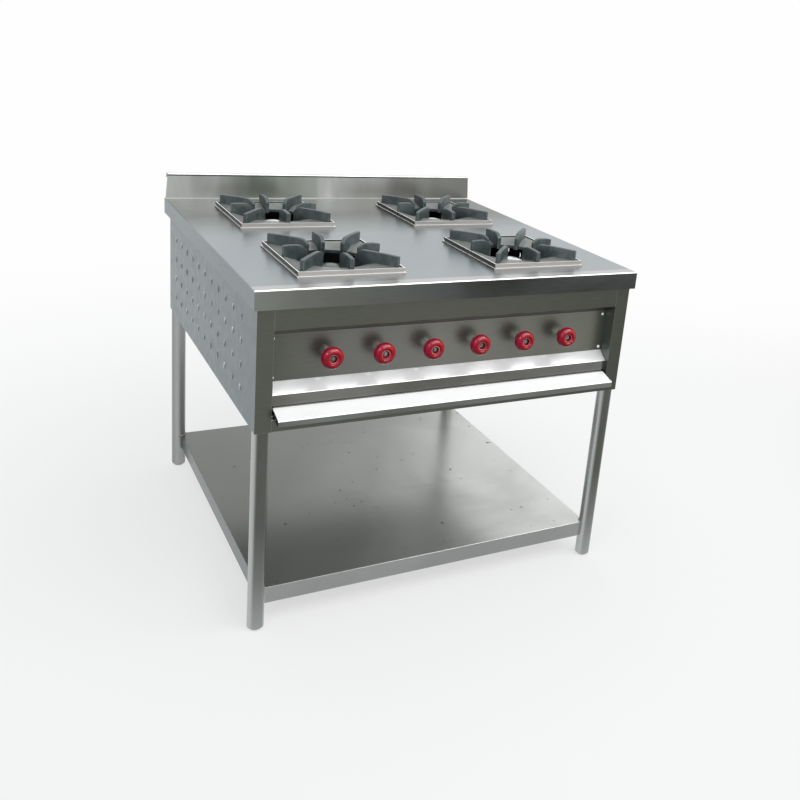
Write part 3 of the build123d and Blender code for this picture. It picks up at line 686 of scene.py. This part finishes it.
def cast_iron(name, plate, top, flank, edge, plate_height, border=None):
    """Dull iron with a sandy bump, lighter edges and painted shade in gaps. The low plate is painted paler
    than what stands on it.
    """
    material, tree, shader = new_material(name)
    place = object_place(tree)
    sand = noise_node(tree, place, sand_scale, 4.0)
    _, _, height = axes_of(tree, place)
    up = mix_colours(tree, map_range(tree, height, plate_height, plate_height + plate_blend), plate, top)
    tone = use_group(tree, painted_facing_light, Up=up, Front=flank, Side=flank)
    clouds = use_group(tree, smears, Scale=34.0, Sharpness=0.22)
    wear_and_highlight = use_group(tree, bright_edges, Reach=0.0016)
    cloudy = math_node(tree, "MULTIPLY", clouds.outputs["Mask"], 0.4)
    dusty = mix_colours(tree, cloudy, tone.outputs["Tone"], dust)
    worn_and_highlit = math_node(tree, "MULTIPLY", wear_and_highlight.outputs["Mask"], map_range(tree, sand, 0.25, 0.6))
    # The edges are lighter, partly from wear and partly as a painted highlight.
    finish = mix_colours(tree, worn_and_highlit, dusty, edge)
    # Painted shade in narrow gaps and along the plate's border.
    gap_shaded = mix_colours(tree, crevice_shade(tree, 0.008), finish, gap_shade)
    if border:
        gap_shaded = mix_colours(tree, plate_border(tree, *border), gap_shaded, gap_shade)
    tree.links.new(gap_shaded, shader.inputs["Base Color"])
    tree.links.new(map_range(tree, sand, *mid_noise, 0.36, 0.52), shader.inputs["Roughness"])
    shader.inputs["Metallic"].default_value = 0.3
    add_bump(tree, shader, sand, strength=0.25, distance=0.0003)
    return material


_, pan_frame_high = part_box("pan_frame_front_left")
# The supports' plate is painted paler as a painted sheen, and its border gets painted shade.
support_iron = cast_iron(
    "support_iron", plate=colour(126, 129, 126), top=colour(70, 80, 80), flank=colour(54, 64, 65),
    edge=colour(142, 152, 149), plate_height=pan_frame_high.z - 0.002,
    border=(plate_half.x, plate_half.y, 0.004))
burner_iron = cast_iron(
    "burner_iron", plate=colour(78, 82, 80), top=colour(78, 82, 80), flank=colour(58, 60, 57),
    edge=colour(110, 114, 111), plate_height=0.8)
print("irons:", support_iron.name, burner_iron.name)

# %% [markdown]
# ## Turned metal
# Brass, chrome and machined iron come off a lathe with fine lines, and their polish is a little uneven. One
# recipe gives both, so that each metal needs only its own colour, roughness and dullness.

# %% Material: turned metal
def turned_metal(name, body, rough, metallic=1.0, dulled=0.7):
    """Metal with fine turning lines and uneven polish."""
    material, tree, shader = new_material(name)
    grain = use_group(tree, brushed_grain, Squeeze=(40.0, 1.0, 40.0), Scale=30.0)
    clouds = use_group(tree, smears, Scale=40.0, Sharpness=0.5)
    dull = tuple(dulled * share for share in body[:3]) + (1.0,)
    tree.links.new(mix_colours(tree, clouds.outputs["Mask"], body, dull), shader.inputs["Base Color"])
    patchy = map_range(tree, grain.outputs["Fine"], *mid_noise, rough, rough + 0.12)
    tree.links.new(patchy, shader.inputs["Roughness"])
    shader.inputs["Metallic"].default_value = metallic
    add_bump(tree, shader, grain.outputs["Fine"], strength=0.05, distance=0.0002)
    return material


brass = turned_metal("turned_brass", colour(206, 172, 104), 0.26)
chrome = turned_metal("polished_chrome", colour(236, 237, 236), 0.1)
spindle_steel = turned_metal("spindle_steel", colour(150, 151, 149), 0.12, dulled=0.12)
# The ring's pink tint is a painted reflection of the red knob round it.
ring_steel = turned_metal("ring_steel", colour(222, 180, 168), 0.12, dulled=0.06)
# The screws are painted white, as a painted highlight.
screw_steel = turned_metal("screw_steel", painted_white_light, 0.4, metallic=0.2, dulled=0.95)
# Caps are painted near-white, a painted reflection; the front left one is painted blue-grey, reflecting the
# dark hole.
lit_head = turned_metal("lit_machined_head", colour(246, 248, 248), 0.3, metallic=0.6, dulled=0.72)
shaded_head = turned_metal("shaded_head", colour(108, 126, 126), 0.22, metallic=0.9)
print("turned metals:", brass.name, chrome.name, spindle_steel.name, ring_steel.name, screw_steel.name,
      lit_head.name, shaded_head.name)

# %% [markdown]
# ## Moulded red
# The knobs are moulded in a hard glossy plastic, a red painted cooler on faces that look left and hotter on
# faces that look right, as a painted reflection, and painted dark underneath, as painted shade. The lip gets
# a painted highlight, and the clear gloss shows on what looks up.

# %% Material: moulded red
cool_red = colour(146, 14, 44)
hot_red = colour(158, 8, 10)
shade_red = colour(44, 0, 4)
mottle_red = colour(90, 4, 16)
lip_highlight = colour(236, 204, 200)


def moulded_red():
    """Glossy moulded red, painted cooler on faces that look left and hotter on faces that look right, as a
    painted reflection.
    """
    material, tree, shader = new_material("moulded_red")
    clouds = use_group(tree, smears, Scale=70.0, Sharpness=0.6).outputs["Mask"]
    across, _, upward = axes_of(tree, surface_normal(tree))
    # Painted reflection: cooler red on faces that look left, hotter on those that look right; painted shade
    # below.
    moulded = mix_colours(tree, map_range(tree, across, -0.5, 0.6), cool_red, hot_red)
    shaded = mix_colours(tree, map_range(tree, upward, -0.9, 0.3, 0.9, 0.0), moulded, shade_red)
    mottled = mix_colours(tree, math_node(tree, "MULTIPLY", clouds, 0.25), shaded, mottle_red)
    # Painted highlight on the lip, uneven along it.
    edge_highlight = use_group(tree, bright_edges, Reach=0.0014)
    uneven = map_range(tree, clouds, 0.2, 0.8, 0.1, 1.0)
    lip = math_node(tree, "MULTIPLY", edge_highlight.outputs["Mask"], uneven)
    tree.links.new(mix_colours(tree, lip, mottled, lip_highlight), shader.inputs["Base Color"])
    tree.links.new(map_range(tree, clouds, 0.0, 1.0, 0.18, 0.34), shader.inputs["Roughness"])
    tree.links.new(map_range(tree, upward, 0.0, 0.6, 0.05, 0.95), shader.inputs["Coat Weight"])
    shader.inputs["Specular IOR Level"].default_value = 0.08
    shader.inputs["Coat Roughness"].default_value = 0.06
    return material


knob_red = moulded_red()
print("moulded:", knob_red.name)

# %% [markdown]
# ## Finishes on the frame
# The record gives each piece a kind of finish, and a few pieces get one of their own, because they were made
# in another way or carry painted light of their own. Only materials are set here: the solids keep their
# shapes and places.

# %% Give every piece of the frame its finish
knob_slot = slot_of["knob_1"]
finish_by_slot = {
    "stainless_sheet": inner_steel, "polished_pipe": front_pipe, "frame_steel": frame_steel,
    "pipe_steel": inner_steel, "cast_iron": burner_iron, "machined_iron": lit_head, "brass": brass,
    knob_slot: knob_red, "bright_chrome": chrome,
}
finish_by_node = {
    "hob_top": hob_steel, "splashback": splash_steel, "side_panel_left": side_steel,
    "side_panel_right": side_steel, "rear_panel": side_steel, "front_left_post": front_steel,
    "front_right_post": front_steel, "front_top_rail": front_steel, "control_panel": panel_steel,
    "control_ledge": ledge_steel, "front_bottom_rail": front_steel, "drip_tray": tray_steel,
    "undershelf": shelf_steel, "shelf_stiffener": shelf_steel, "burner_head_front_left": shaded_head,
    "leg_rear_left": rear_pipe, "leg_rear_right": rear_pipe, "panel_screws": screw_steel,
}
finish_by_node.update({f"spindle_{number}": spindle_steel for number in range(1, 7)})
for name, node in nodes.items():
    node.data.materials.clear()
    node.data.materials.append(finish_by_node.get(name, finish_by_slot[slot_of[name]]))
print("finishes given:", len(nodes))

# %% [markdown]
# ## Pieces with their own mesh
# A detail that isn't in the solid is a plain mesh, built where it stands. It rides on the body it belongs
# to, so it moves with that body's joint. Edges that are steep stay sharp, and the rest shades smoothly.

# %% Helpers for pieces
edge_angle = math.radians(32.0)


def place_piece(name, data, material, body, stands_for=()):
    """Finished mesh as a piece that rides on a body."""
    data.materials.clear()
    data.materials.append(material)
    piece = bpy.data.objects.new(name, data)
    bpy.context.scene.collection.objects.link(piece)
    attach(piece, body)
    if stands_for:
        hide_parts(*stands_for)
    print(name, len(data.polygons), "faces")
    return piece


def new_carrier(data):
    """Object that holds a mesh while modifiers work on it."""
    carrier = bpy.data.objects.new("carrier", data)
    bpy.context.scene.collection.objects.link(carrier)
    return carrier


def read_back(carrier, modifiers):
    """Plain mesh after modifiers, each given as its kind and its settings. The carrier goes away."""
    for kind, settings in modifiers:
        modifier = carrier.modifiers.new(kind.lower(), kind)
        for label, value in settings.items():
            setattr(modifier, label, value)
    plain = bpy.data.meshes.new_from_object(carrier.evaluated_get(bpy.context.evaluated_depsgraph_get()))
    bpy.data.objects.remove(carrier)
    return plain


def evaluated_mesh(data, *modifiers):
    """Plain mesh of some data after modifiers."""
    return read_back(new_carrier(data), modifiers)


def sharpen_by_angle(data, angle):
    """Smooth shading, broken at edges steeper than the angle."""
    mesh = bmesh.new()
    mesh.from_mesh(data)
    for face in mesh.faces:
        face.smooth = True
    for edge in mesh.edges:
        edge.smooth = len(edge.link_faces) == 2 and edge.calc_face_angle(0.0) < angle
    mesh.to_mesh(data)
    mesh.free()


print("edges over", round(math.degrees(edge_angle)), "degrees stay sharp")

# %% [markdown]
# ## Pan supports
# The supports are crisp castings: flat flanks, and edges that a mould leaves just off sharp. A voxel skin
# would round them into rubber, so the solid's own faces are joined and only their edges get a narrow bevel.

# %% Pan supports
cast_edge = 0.0009
flat_angle = math.radians(1.0)
same_point = 0.00002


def merged_copy(node):
    """Copy of a node's mesh with its loose triangles joined into flat faces."""
    mesh = bmesh.new()
    mesh.from_mesh(node.data)
    bmesh.ops.remove_doubles(mesh, verts=mesh.verts, dist=same_point)
    bmesh.ops.dissolve_limit(mesh, angle_limit=flat_angle, verts=mesh.verts, edges=mesh.edges)
    return mesh


def cast_copy(node_name):
    """The solid's mesh with its edges taken off."""
    mesh = merged_copy(nodes[node_name])
    data = bpy.data.meshes.new(node_name + "_cast")
    mesh.to_mesh(data)
    mesh.free()
    plain = evaluated_mesh(data, ("BEVEL", {"width": cast_edge, "segments": 2, "limit_method": "ANGLE",
                                            "angle_limit": edge_angle, "use_clamp_overlap": True}))
    sharpen_by_angle(plain, edge_angle)
    return plain


for row in rows:
    for side in sides:
        body = f"pan_support_{row}_{side}"
        place_piece(f"cast_support_{row}_{side}", cast_copy(body), support_iron, body, (body,))

# %% [markdown]
# ## Knobs
# A knob is turned on a lathe in the pattern shop, and moulded from that. So is this one: half its outline
# is drawn from a few sizes and spun about its axis. The outline has two arcs, found through three points
# each, and the spin has enough steps to look round close up. A thin metal ring is set in each face.

# %% Knobs on a lathe
knob_steps = 72
arc_steps = 9
ring_arc_steps = 5
widest = (26.0, 12.0)
well_radius, well_floor = 9.4, 15.0
bore_radius, boss_back = 4.2, -6.0
lip_bevel = 0.0004


def arc_through(start, middle, end, steps):
    """Points on the arc through three points, each given as radius and reach."""
    (ax, ay), (bx, by), (cx, cy) = start, middle, end
    spread = 2.0 * (ax * (by - cy) + bx * (cy - ay) + cx * (ay - by))
    a2, b2, c2 = ax * ax + ay * ay, bx * bx + by * by, cx * cx + cy * cy
    ox = (a2 * (by - cy) + b2 * (cy - ay) + c2 * (ay - by)) / spread
    oy = (a2 * (cx - bx) + b2 * (ax - cx) + c2 * (bx - ax)) / spread
    size = math.hypot(ax - ox, ay - oy)
    first = math.atan2(ay - oy, ax - ox)
    turn = (math.atan2(cy - oy, cx - ox) - first + math.pi) % (2.0 * math.pi) - math.pi
    angles = [first + turn * step / steps for step in range(steps + 1)]
    return [(ox + size * math.cos(angle), oy + size * math.sin(angle)) for angle in angles]


def knob_outline():
    """Half the knob's outline in millimetres: radius, and reach forward from its rear face."""
    rim_back = arc_through((11.5, 0.0), (21.5, 3.2), widest, arc_steps)
    rim_front = arc_through(widest, (23.4, 23.6), (14.4, 28.0), arc_steps)
    dished_face = [(12.8, 25.4), (10.4, 25.0), (well_radius, 23.8)]
    well = [(well_radius, well_floor), (bore_radius, well_floor)]
    boss = [(bore_radius, boss_back), (10.5, boss_back)]
    return rim_back + rim_front[1:] + dished_face + well + boss


def ring_outline():
    """Half the metal ring set in the knob's face, in millimetres as above."""
    return arc_through((9.1, 24.6), (10.3, 26.3), (11.4, 25.0), ring_arc_steps)


def turned_mesh(name, outline, centre, steps):
    """Closed ring spun from an outline about an axis that runs to the front."""
    mesh = bmesh.new()
    rings = []
    for step in range(steps):
        angle = 2.0 * math.pi * step / steps
        across, up = math.cos(angle), math.sin(angle)
        rings.append([mesh.verts.new(centre + 0.001 * Vector((radius * across, -reach, radius * up)))
                      for radius, reach in outline])
    count = len(outline)
    for step in range(steps):
        here, beyond = rings[step], rings[(step + 1) % steps]
        for index in range(count):
            after = (index + 1) % count
            mesh.faces.new((here[index], here[after], beyond[after], beyond[index]))
    bmesh.ops.recalc_face_normals(mesh, faces=mesh.faces)
    data = bpy.data.meshes.new(name)
    mesh.to_mesh(data)
    mesh.free()
    return data


for number in range(1, 7):
    body = f"knob_{number}"
    middle, half = box_middle_and_half(body)
    knob_rear = Vector((middle.x, middle.y + half.y + 0.001 * boss_back, middle.z))
    data = turned_mesh(f"moulded_knob_{number}", knob_outline(), knob_rear, knob_steps)
    plain = evaluated_mesh(data, ("BEVEL", {"width": lip_bevel, "segments": 2, "limit_method": "ANGLE",
                                            "angle_limit": edge_angle}))
    sharpen_by_angle(plain, edge_angle)
    place_piece(f"moulded_knob_{number}", plain, knob_red, body, (body,))
    ring = turned_mesh(f"knob_ring_{number}", ring_outline(), knob_rear, knob_steps)
    sharpen_by_angle(ring, edge_angle)
    place_piece(f"knob_ring_{number}", ring, ring_steel, body)

# %% [markdown]
# ## Folded edges
# The control panel's upper edge is folded up behind the top rail, so that no one looks past it at the
# valves: in the photo it is the dark strip over the knobs. The tray's flange has a small cheek at each end,
# which keeps it from being bent. Both are flat outlines given a sheet's thickness.

# %% Folded edges
fold_sheet = 0.0008
cheek_inset = 0.0006

# The fold's dark tone is painted shade, as under the top rail.
shaded_steel = steel(
    "shaded_steel", up=colour(96, 94, 88), front=colour(66, 62, 56), side=colour(60, 62, 60),
    rough=0.42, metal=0.5, edge=0.0, cloud_tone=(40, 40, 38), cloud=0.4)
# The cheeks are painted dark navy: painted shade inside the tray's ends, tinted blue as a painted reflection.
cheek_steel = steel(
    "cheek_steel", up=colour(60, 66, 90), front=colour(60, 66, 90), side=colour(40, 48, 76),
    edge=0.0, cloud_tone=(20, 22, 30), cloud=0.4)


def sheet_piece(name, corners, material, body):
    """Flat sheet from its corners, with a thickness."""
    data = bpy.data.meshes.new(name)
    data.from_pydata(corners, [], [tuple(range(len(corners)))])
    solid = evaluated_mesh(data, ("SOLIDIFY", {"thickness": fold_sheet, "offset": 0.0}))
    place_piece(name, solid, material, body)


panel_low, panel_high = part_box("control_panel")
rail_low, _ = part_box("front_top_rail")
fold_depth = panel_low.y + 0.001
fold_top = rail_low.z + 0.004
sheet_piece("panel_upper_fold",
            [(panel_low.x, fold_depth, panel_high.z), (panel_high.x, fold_depth, panel_high.z),
             (panel_high.x, fold_depth, fold_top), (panel_low.x, fold_depth, fold_top)],
            shaded_steel, range_body)

cheek_rear, cheek_front = tray_low.y + 0.0475, tray_low.y + 0.0012
cheek_outline = [
    (cheek_rear, tray_low.z + 0.0085), (cheek_front, tray_low.z + 0.0010),
    (cheek_front, tray_low.z + 0.0145), (cheek_rear, tray_high.z - 0.0020)]
for side, x in (("left", tray_low.x + cheek_inset), ("right", tray_high.x - cheek_inset)):
    corners = [(x, depth, height) for depth, height in cheek_outline]
    sheet_piece(f"tray_cheek_{side}", corners, cheek_steel, "drip_tray")

# %% [markdown]
# ## Burner caps
# Each burner head carries a low crowned cap that spreads the flame. Seen through the pan support it is the
# bright lens in the dark hole: its near-white is a painted reflection, and the front left cap is painted
# darker, as a painted reflection of the dark hole. The knob's lathe turns it too, stood upright: a groove
# near the rim, then a shallow crown.

# %% Burner caps
cap_steps = 64
cap_radius, cap_rise, cap_lip = 41.0, 11.0, 3.0
cap_centre = 0.4


def cap_outline():
    """Half the cap's outline in millimetres: radius, and height over the head."""
    crown = arc_through((cap_radius - 4.0, cap_lip), (cap_radius * 0.6, cap_rise - 2.6),
                        (cap_centre, cap_rise), arc_steps)
    groove = [(cap_radius, 0.2), (cap_radius, cap_lip - 0.6), (cap_radius - 0.8, cap_lip),
              (cap_radius - 2.6, cap_lip), (cap_radius - 3.2, cap_lip - 0.9)]
    return [(cap_centre, 0.2)] + groove + crown


for row in rows:
    for side in sides:
        body = f"burner_head_{row}_{side}"
        middle, half = box_middle_and_half(body)
        data = turned_mesh(f"burner_cap_{row}_{side}", cap_outline(), Vector(), cap_steps)
        data.transform(Matrix.Rotation(math.radians(-90.0), 4, "X"))
        data.transform(Matrix.Translation((middle.x, middle.y, middle.z + half.z)))
        sharpen_by_angle(data, edge_angle)
        finish = shaded_head if body == "burner_head_front_left" else lit_head
        place_piece(f"burner_cap_{row}_{side}", data, finish, body)

# %% [markdown]
# ## Geometry Nodes helpers
# Vents and welds repeat, so node trees make them. A tree has named inputs for its sizes, and a modifier
# looks them up by identifier. The result is read back as a plain mesh, and the modifier goes away.

# %% Helpers for geometry trees
def geometry_tree(name, inputs):
    """Geometry tree with its inputs, its geometry output and its two end nodes."""
    tree = bpy.data.node_groups.new(name, "GeometryNodeTree")
    for label, kind in inputs:
        tree.interface.new_socket(label, in_out="INPUT", socket_type=kind)
    tree.interface.new_socket("Geometry", in_out="OUTPUT", socket_type="NodeSocketGeometry")
    return tree, tree.nodes.new("NodeGroupInput"), tree.nodes.new("NodeGroupOutput")


def add_node(tree, kind, **values):
    """Node with values or sockets for its inputs, and its own settings."""
    node = tree.nodes.new(kind)
    for label, value in values.items():
        if hasattr(node, label):
            setattr(node, label, value)
    for label, value in values.items():
        if not hasattr(node, label):
            feed(tree, value, node.inputs[label.replace("_", " ")])
    return node


def finish_tree(tree, result, given, geometry):
    """Real geometry with its material, as the tree's result."""
    real = add_node(tree, "GeometryNodeRealizeInstances", Geometry=geometry)
    finished = add_node(tree, "GeometryNodeSetMaterial", Geometry=real.outputs[0],
                        Material=given.outputs["Material"])
    tree.links.new(finished.outputs[0], result.inputs["Geometry"])


def grown_mesh(tree, *modifiers, **values):
    """Plain mesh that a tree grows from its named values."""
    carrier = new_carrier(bpy.data.meshes.new("carrier"))
    growth = carrier.modifiers.new("growth", "NODES")
    growth.node_group = tree
    for item in tree.interface.items_tree:
        if item.item_type == "SOCKET" and item.in_out == "INPUT" and item.name in values:
            growth[item.identifier] = values[item.name]
    return read_back(carrier, modifiers)


print("node groups before the trees:", len(bpy.data.node_groups))

# %% [markdown]
# ## Vent hoods
# The press pushes each half-moon vent outwards before it shears the straight side, which leaves a little
# hood like a quarter of an egg, open to the rear. One hood is cut from a sphere and set on a grid of points.

# %% Vent hoods
just_past_middle = 0.01
vent_columns, vent_rows = 11, 4
vent_depth, vent_height = 0.018, 0.66405
vent_length, vent_rise = 0.726, 0.1719
hood_out, hood_half_length, hood_half_height = 0.0024, 0.0058, 0.0092
hood_sheet = 0.0007


def vent_hood_tree():
    """Grid of quarter-egg hoods in the plane of a side sheet."""
    tree, given, result = geometry_tree("vent_hoods", [
        ("Columns", "NodeSocketInt"), ("Rows", "NodeSocketInt"), ("Length", "NodeSocketFloat"),
        ("Height", "NodeSocketFloat"), ("Hood", "NodeSocketVector"), ("Middle", "NodeSocketVector"),
        ("Material", "NodeSocketMaterial")])
    give = given.outputs
    points = add_node(tree, "GeometryNodeMeshGrid", Size_X=give["Length"], Size_Y=give["Height"],
                      Vertices_X=give["Columns"], Vertices_Y=give["Rows"])
    upright = add_node(tree, "GeometryNodeTransform", Geometry=points.outputs[0],
                       Rotation=(math.radians(90.0), 0.0, math.radians(90.0)))
    placed = add_node(tree, "GeometryNodeTransform", Geometry=upright.outputs[0], Translation=give["Middle"])
    egg = add_node(tree, "GeometryNodeMeshUVSphere", Segments=12, Rings=8, Radius=1.0)
    place = tree.nodes.new("GeometryNodeInputPosition").outputs[0]
    across, along, _ = axes_of(tree, place)
    outside = add_node(tree, "FunctionNodeCompare", operation="GREATER_THAN")
    behind = add_node(tree, "FunctionNodeCompare", operation="GREATER_THAN")
    for node, value in ((outside, across), (behind, along)):
        tree.links.new(value, node.inputs[0])
        node.inputs[1].default_value = just_past_middle
    either = add_node(tree, "FunctionNodeBooleanMath", operation="OR")
    tree.links.new(outside.outputs[0], either.inputs[0])
    tree.links.new(behind.outputs[0], either.inputs[1])
    quarter = add_node(tree, "GeometryNodeDeleteGeometry", Geometry=egg.outputs[0],
                       Selection=either.outputs[0])
    hood = add_node(tree, "GeometryNodeTransform", Geometry=quarter.outputs[0], Scale=give["Hood"])
    hoods = add_node(tree, "GeometryNodeInstanceOnPoints", Points=placed.outputs[0], Instance=hood.outputs[0])
    finish_tree(tree, result, given, hoods.outputs[0])
    return tree


_, side_sheet_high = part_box("side_panel_right")
vent_hoods = vent_hood_tree()
for side, way in (("left", -1.0), ("right", 1.0)):
    data = grown_mesh(
        vent_hoods, ("SOLIDIFY", {"thickness": hood_sheet, "offset": -1.0}),
        Columns=vent_columns, Rows=vent_rows, Length=vent_length, Height=vent_rise,
        Hood=(-hood_out * way, hood_half_length, hood_half_height),
        Middle=(way * side_sheet_high.x, vent_depth, vent_height), Material=vent_steel)
    place_piece(f"vent_hoods_{side}", data, vent_steel, range_body)

# %% [markdown]
# ## Weld beads
# The legs are welded under the body and to the shelf. A weld is a row of small overlapping drops, so beads
# of slightly uneven size are set along an arc, one arc for each joint.

# %% Weld beads
smallest_bead, largest_bead = 0.75, 1.2
bead_half = (0.0022, 0.0024, 0.0024)
bead_pitch = 0.0032
leg_radius = 0.020
weld_radius = leg_radius + 0.0003
body_sweep = math.radians(176.0)
shelf_sweep = math.radians(100.0)


def weld_tree():
    """Row of uneven beads along a level arc."""
    tree, given, result = geometry_tree("weld_beads", [
        ("Beads", "NodeSocketInt"), ("Radius", "NodeSocketFloat"), ("Start", "NodeSocketFloat"),
        ("Sweep", "NodeSocketFloat"), ("Bead", "NodeSocketVector"), ("Centre", "NodeSocketVector"),
        ("Seed", "NodeSocketInt"), ("Material", "NodeSocketMaterial")])
    give = given.outputs
    arc = add_node(tree, "GeometryNodeCurveArc", Resolution=give["Beads"], Radius=give["Radius"],
                   Start_Angle=give["Start"], Sweep_Angle=give["Sweep"])
    placed = add_node(tree, "GeometryNodeTransform", Geometry=arc.outputs[0], Translation=give["Centre"])
    points = add_node(tree, "GeometryNodeCurveToPoints", mode="EVALUATED", Curve=placed.outputs[0])
    bead = add_node(tree, "GeometryNodeMeshIcoSphere", Subdivisions=2, Radius=1.0)
    shaped = add_node(tree, "GeometryNodeTransform", Geometry=bead.outputs[0], Scale=give["Bead"])
    uneven = tree.nodes.new("FunctionNodeRandomValue")
    uneven.data_type = "FLOAT"
    uneven.inputs[2].default_value = smallest_bead
    uneven.inputs[3].default_value = largest_bead
    tree.links.new(give["Seed"], uneven.inputs["Seed"])
    row = add_node(tree, "GeometryNodeInstanceOnPoints", Points=points.outputs["Points"],
                   Instance=shaped.outputs[0], Rotation=points.outputs["Rotation"], Scale=uneven.outputs[1])
    finish_tree(tree, result, given, row.outputs[0])
    return tree


_, leg_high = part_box("leg_front_right")
_, shelf_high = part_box("undershelf")
leg_x = leg_high.x - leg_radius
leg_front = box_middle_and_half("leg_front_right")[0].y
leg_rear = box_middle_and_half("leg_rear_right")[0].y
body_weld = leg_high.z - 0.0005
shelf_weld = shelf_high.z + 0.0002
print("legs at", round(leg_x, 5), round(leg_front, 5), round(leg_rear, 5), "welds at",
      round(body_weld, 5), round(shelf_weld, 5))


def weld_joints():
    """Centre, first angle and sweep for each weld, under the body and on the shelf."""
    joints = []
    for x in (-leg_x, leg_x):
        for y in (leg_front, leg_rear):
            inward = math.atan2(-y, -x)
            for height, sweep in ((body_weld, body_sweep), (shelf_weld, shelf_sweep)):
                joints.append(((x, y, height), inward - sweep / 2.0, sweep))
    return joints


weld_beads = weld_tree()
welds = bmesh.new()
for number, (centre, start, sweep) in enumerate(weld_joints()):
    bead_count = round(weld_radius * sweep / bead_pitch)
    data = grown_mesh(weld_beads, Beads=bead_count, Radius=weld_radius, Start=start, Sweep=sweep,
                      Bead=bead_half, Centre=centre, Seed=number, Material=inner_steel)
    welds.from_mesh(data)
weld_data = bpy.data.meshes.new("weld_beads")
for face in welds.faces:
    face.smooth = True
welds.to_mesh(weld_data)
welds.free()
place_piece("weld_beads", weld_data, inner_steel, range_body)

# %% [markdown]
# ## The studio
# A pale floor and a soft, even light, as for a catalogue picture. The background is white to the camera and
# to reflections by its colour alone, so no extra lamp burns out the steel. The floor is part pale paint and
# part plain light to those rays, which leaves a faint shadow under the range.

# %% Floor, lamps and world
floor_size = 60.0
shadow_share = 0.3
shadow_reach = (0.9, 3.2)
glow_reach = (1.9, 3.8)
rearward_reach = (-1.3, 1.8)
floor_paint = (0.86, 0.86, 0.86, 1.0)
near_glow = colour(237, 237, 237)
studio_white = colour(254, 254, 254)
soft_light = (0.62, 0.64, 0.65, 1.0)


def seen_or_mirrored(tree):
    """1 for rays from the camera, from a gloss or through glass, 0 for rays that carry light."""
    path = tree.nodes.new("ShaderNodeLightPath").outputs
    seen = math_node(tree, "MAXIMUM", path["Is Camera Ray"], path["Is Glossy Ray"])
    return math_node(tree, "MAXIMUM", seen, path["Is Transmission Ray"])


def floor_material():
    """Pale paint that keeps a soft shadow and runs out into white on every side."""
    material, tree, shader = new_material("pale_floor")
    shader.inputs["Base Color"].default_value = floor_paint
    shader.inputs["Roughness"].default_value = 1.0
    shader.inputs["Specular IOR Level"].default_value = 0.0
    away = tree.nodes.new("ShaderNodeVectorMath")
    away.operation = "LENGTH"
    tree.links.new(object_place(tree), away.inputs[0])
    _, depth, _ = axes_of(tree, object_place(tree))
    rearward = map_range(tree, depth, *rearward_reach)
    white = math_node(tree, "MAXIMUM", rearward, map_range(tree, away.outputs["Value"], *glow_reach))
    glow = tree.nodes.new("ShaderNodeEmission")
    tree.links.new(mix_colours(tree, white, near_glow, studio_white), glow.inputs["Color"])
    shadow = map_range(tree, away.outputs["Value"], *shadow_reach, shadow_share, 0.0)
    both = tree.nodes.new("ShaderNodeMixShader")
    share = math_node(tree, "MULTIPLY", seen_or_mirrored(tree), math_node(tree, "SUBTRACT", 1.0, shadow))
    tree.links.new(share, both.inputs[0])
    tree.links.new(shader.outputs[0], both.inputs[1])
    tree.links.new(glow.outputs[0], both.inputs[2])
    tree.links.new(both.outputs[0], tree.nodes["Material Output"].inputs["Surface"])
    return material


def make_floor():
    """Large pale floor under the feet."""
    mesh = bmesh.new()
    bmesh.ops.create_grid(mesh, x_segments=1, y_segments=1, size=floor_size)
    data = bpy.data.meshes.new("floor")
    mesh.to_mesh(data)
    mesh.free()
    floor = bpy.data.objects.new("floor", data)
    bpy.context.scene.collection.objects.link(floor)
    data.materials.append(floor_material())


def make_lamp(name, place, target, width, height, watts):
    """Soft oblong lamp that faces a point."""
    data = bpy.data.lights.new(name, "AREA")
    data.shape = "RECTANGLE"
    data.size, data.size_y = width, height
    data.energy = watts
    lamp = bpy.data.objects.new(name, data)
    lamp.location = place
    lamp.rotation_euler = (Vector(target) - Vector(place)).to_track_quat("-Z", "Y").to_euler()
    bpy.context.scene.collection.objects.link(lamp)


def make_world(white, light):
    """White to the camera and to reflections, and a softer level for the light itself."""
    world = bpy.data.worlds.new("studio")
    bpy.context.scene.world = world
    world.use_nodes = True
    tree = world.node_tree
    sky = tree.nodes["Background"]
    sky.inputs["Strength"].default_value = 1.0
    tree.links.new(mix_colours(tree, seen_or_mirrored(tree), light, white), sky.inputs["Color"])


make_floor()
range_middle = (0.0, 0.0, 0.6)
make_lamp("overhead", (0.0, 0.2, 3.6), range_middle, 2.6, 2.6, 24.0)
make_lamp("slope_light", (1.2, -2.4, 3.2), (0.0, -0.5, 0.6), 4.2, 2.0, 95.0)
make_lamp("left_window", (-2.6, -2.6, 2.6), range_middle, 0.8, 0.8, 18.0)
make_world(studio_white, soft_light)
bpy.context.scene.view_settings.view_transform = "Standard"
print("lamps:", [light.name for light in bpy.data.lights])
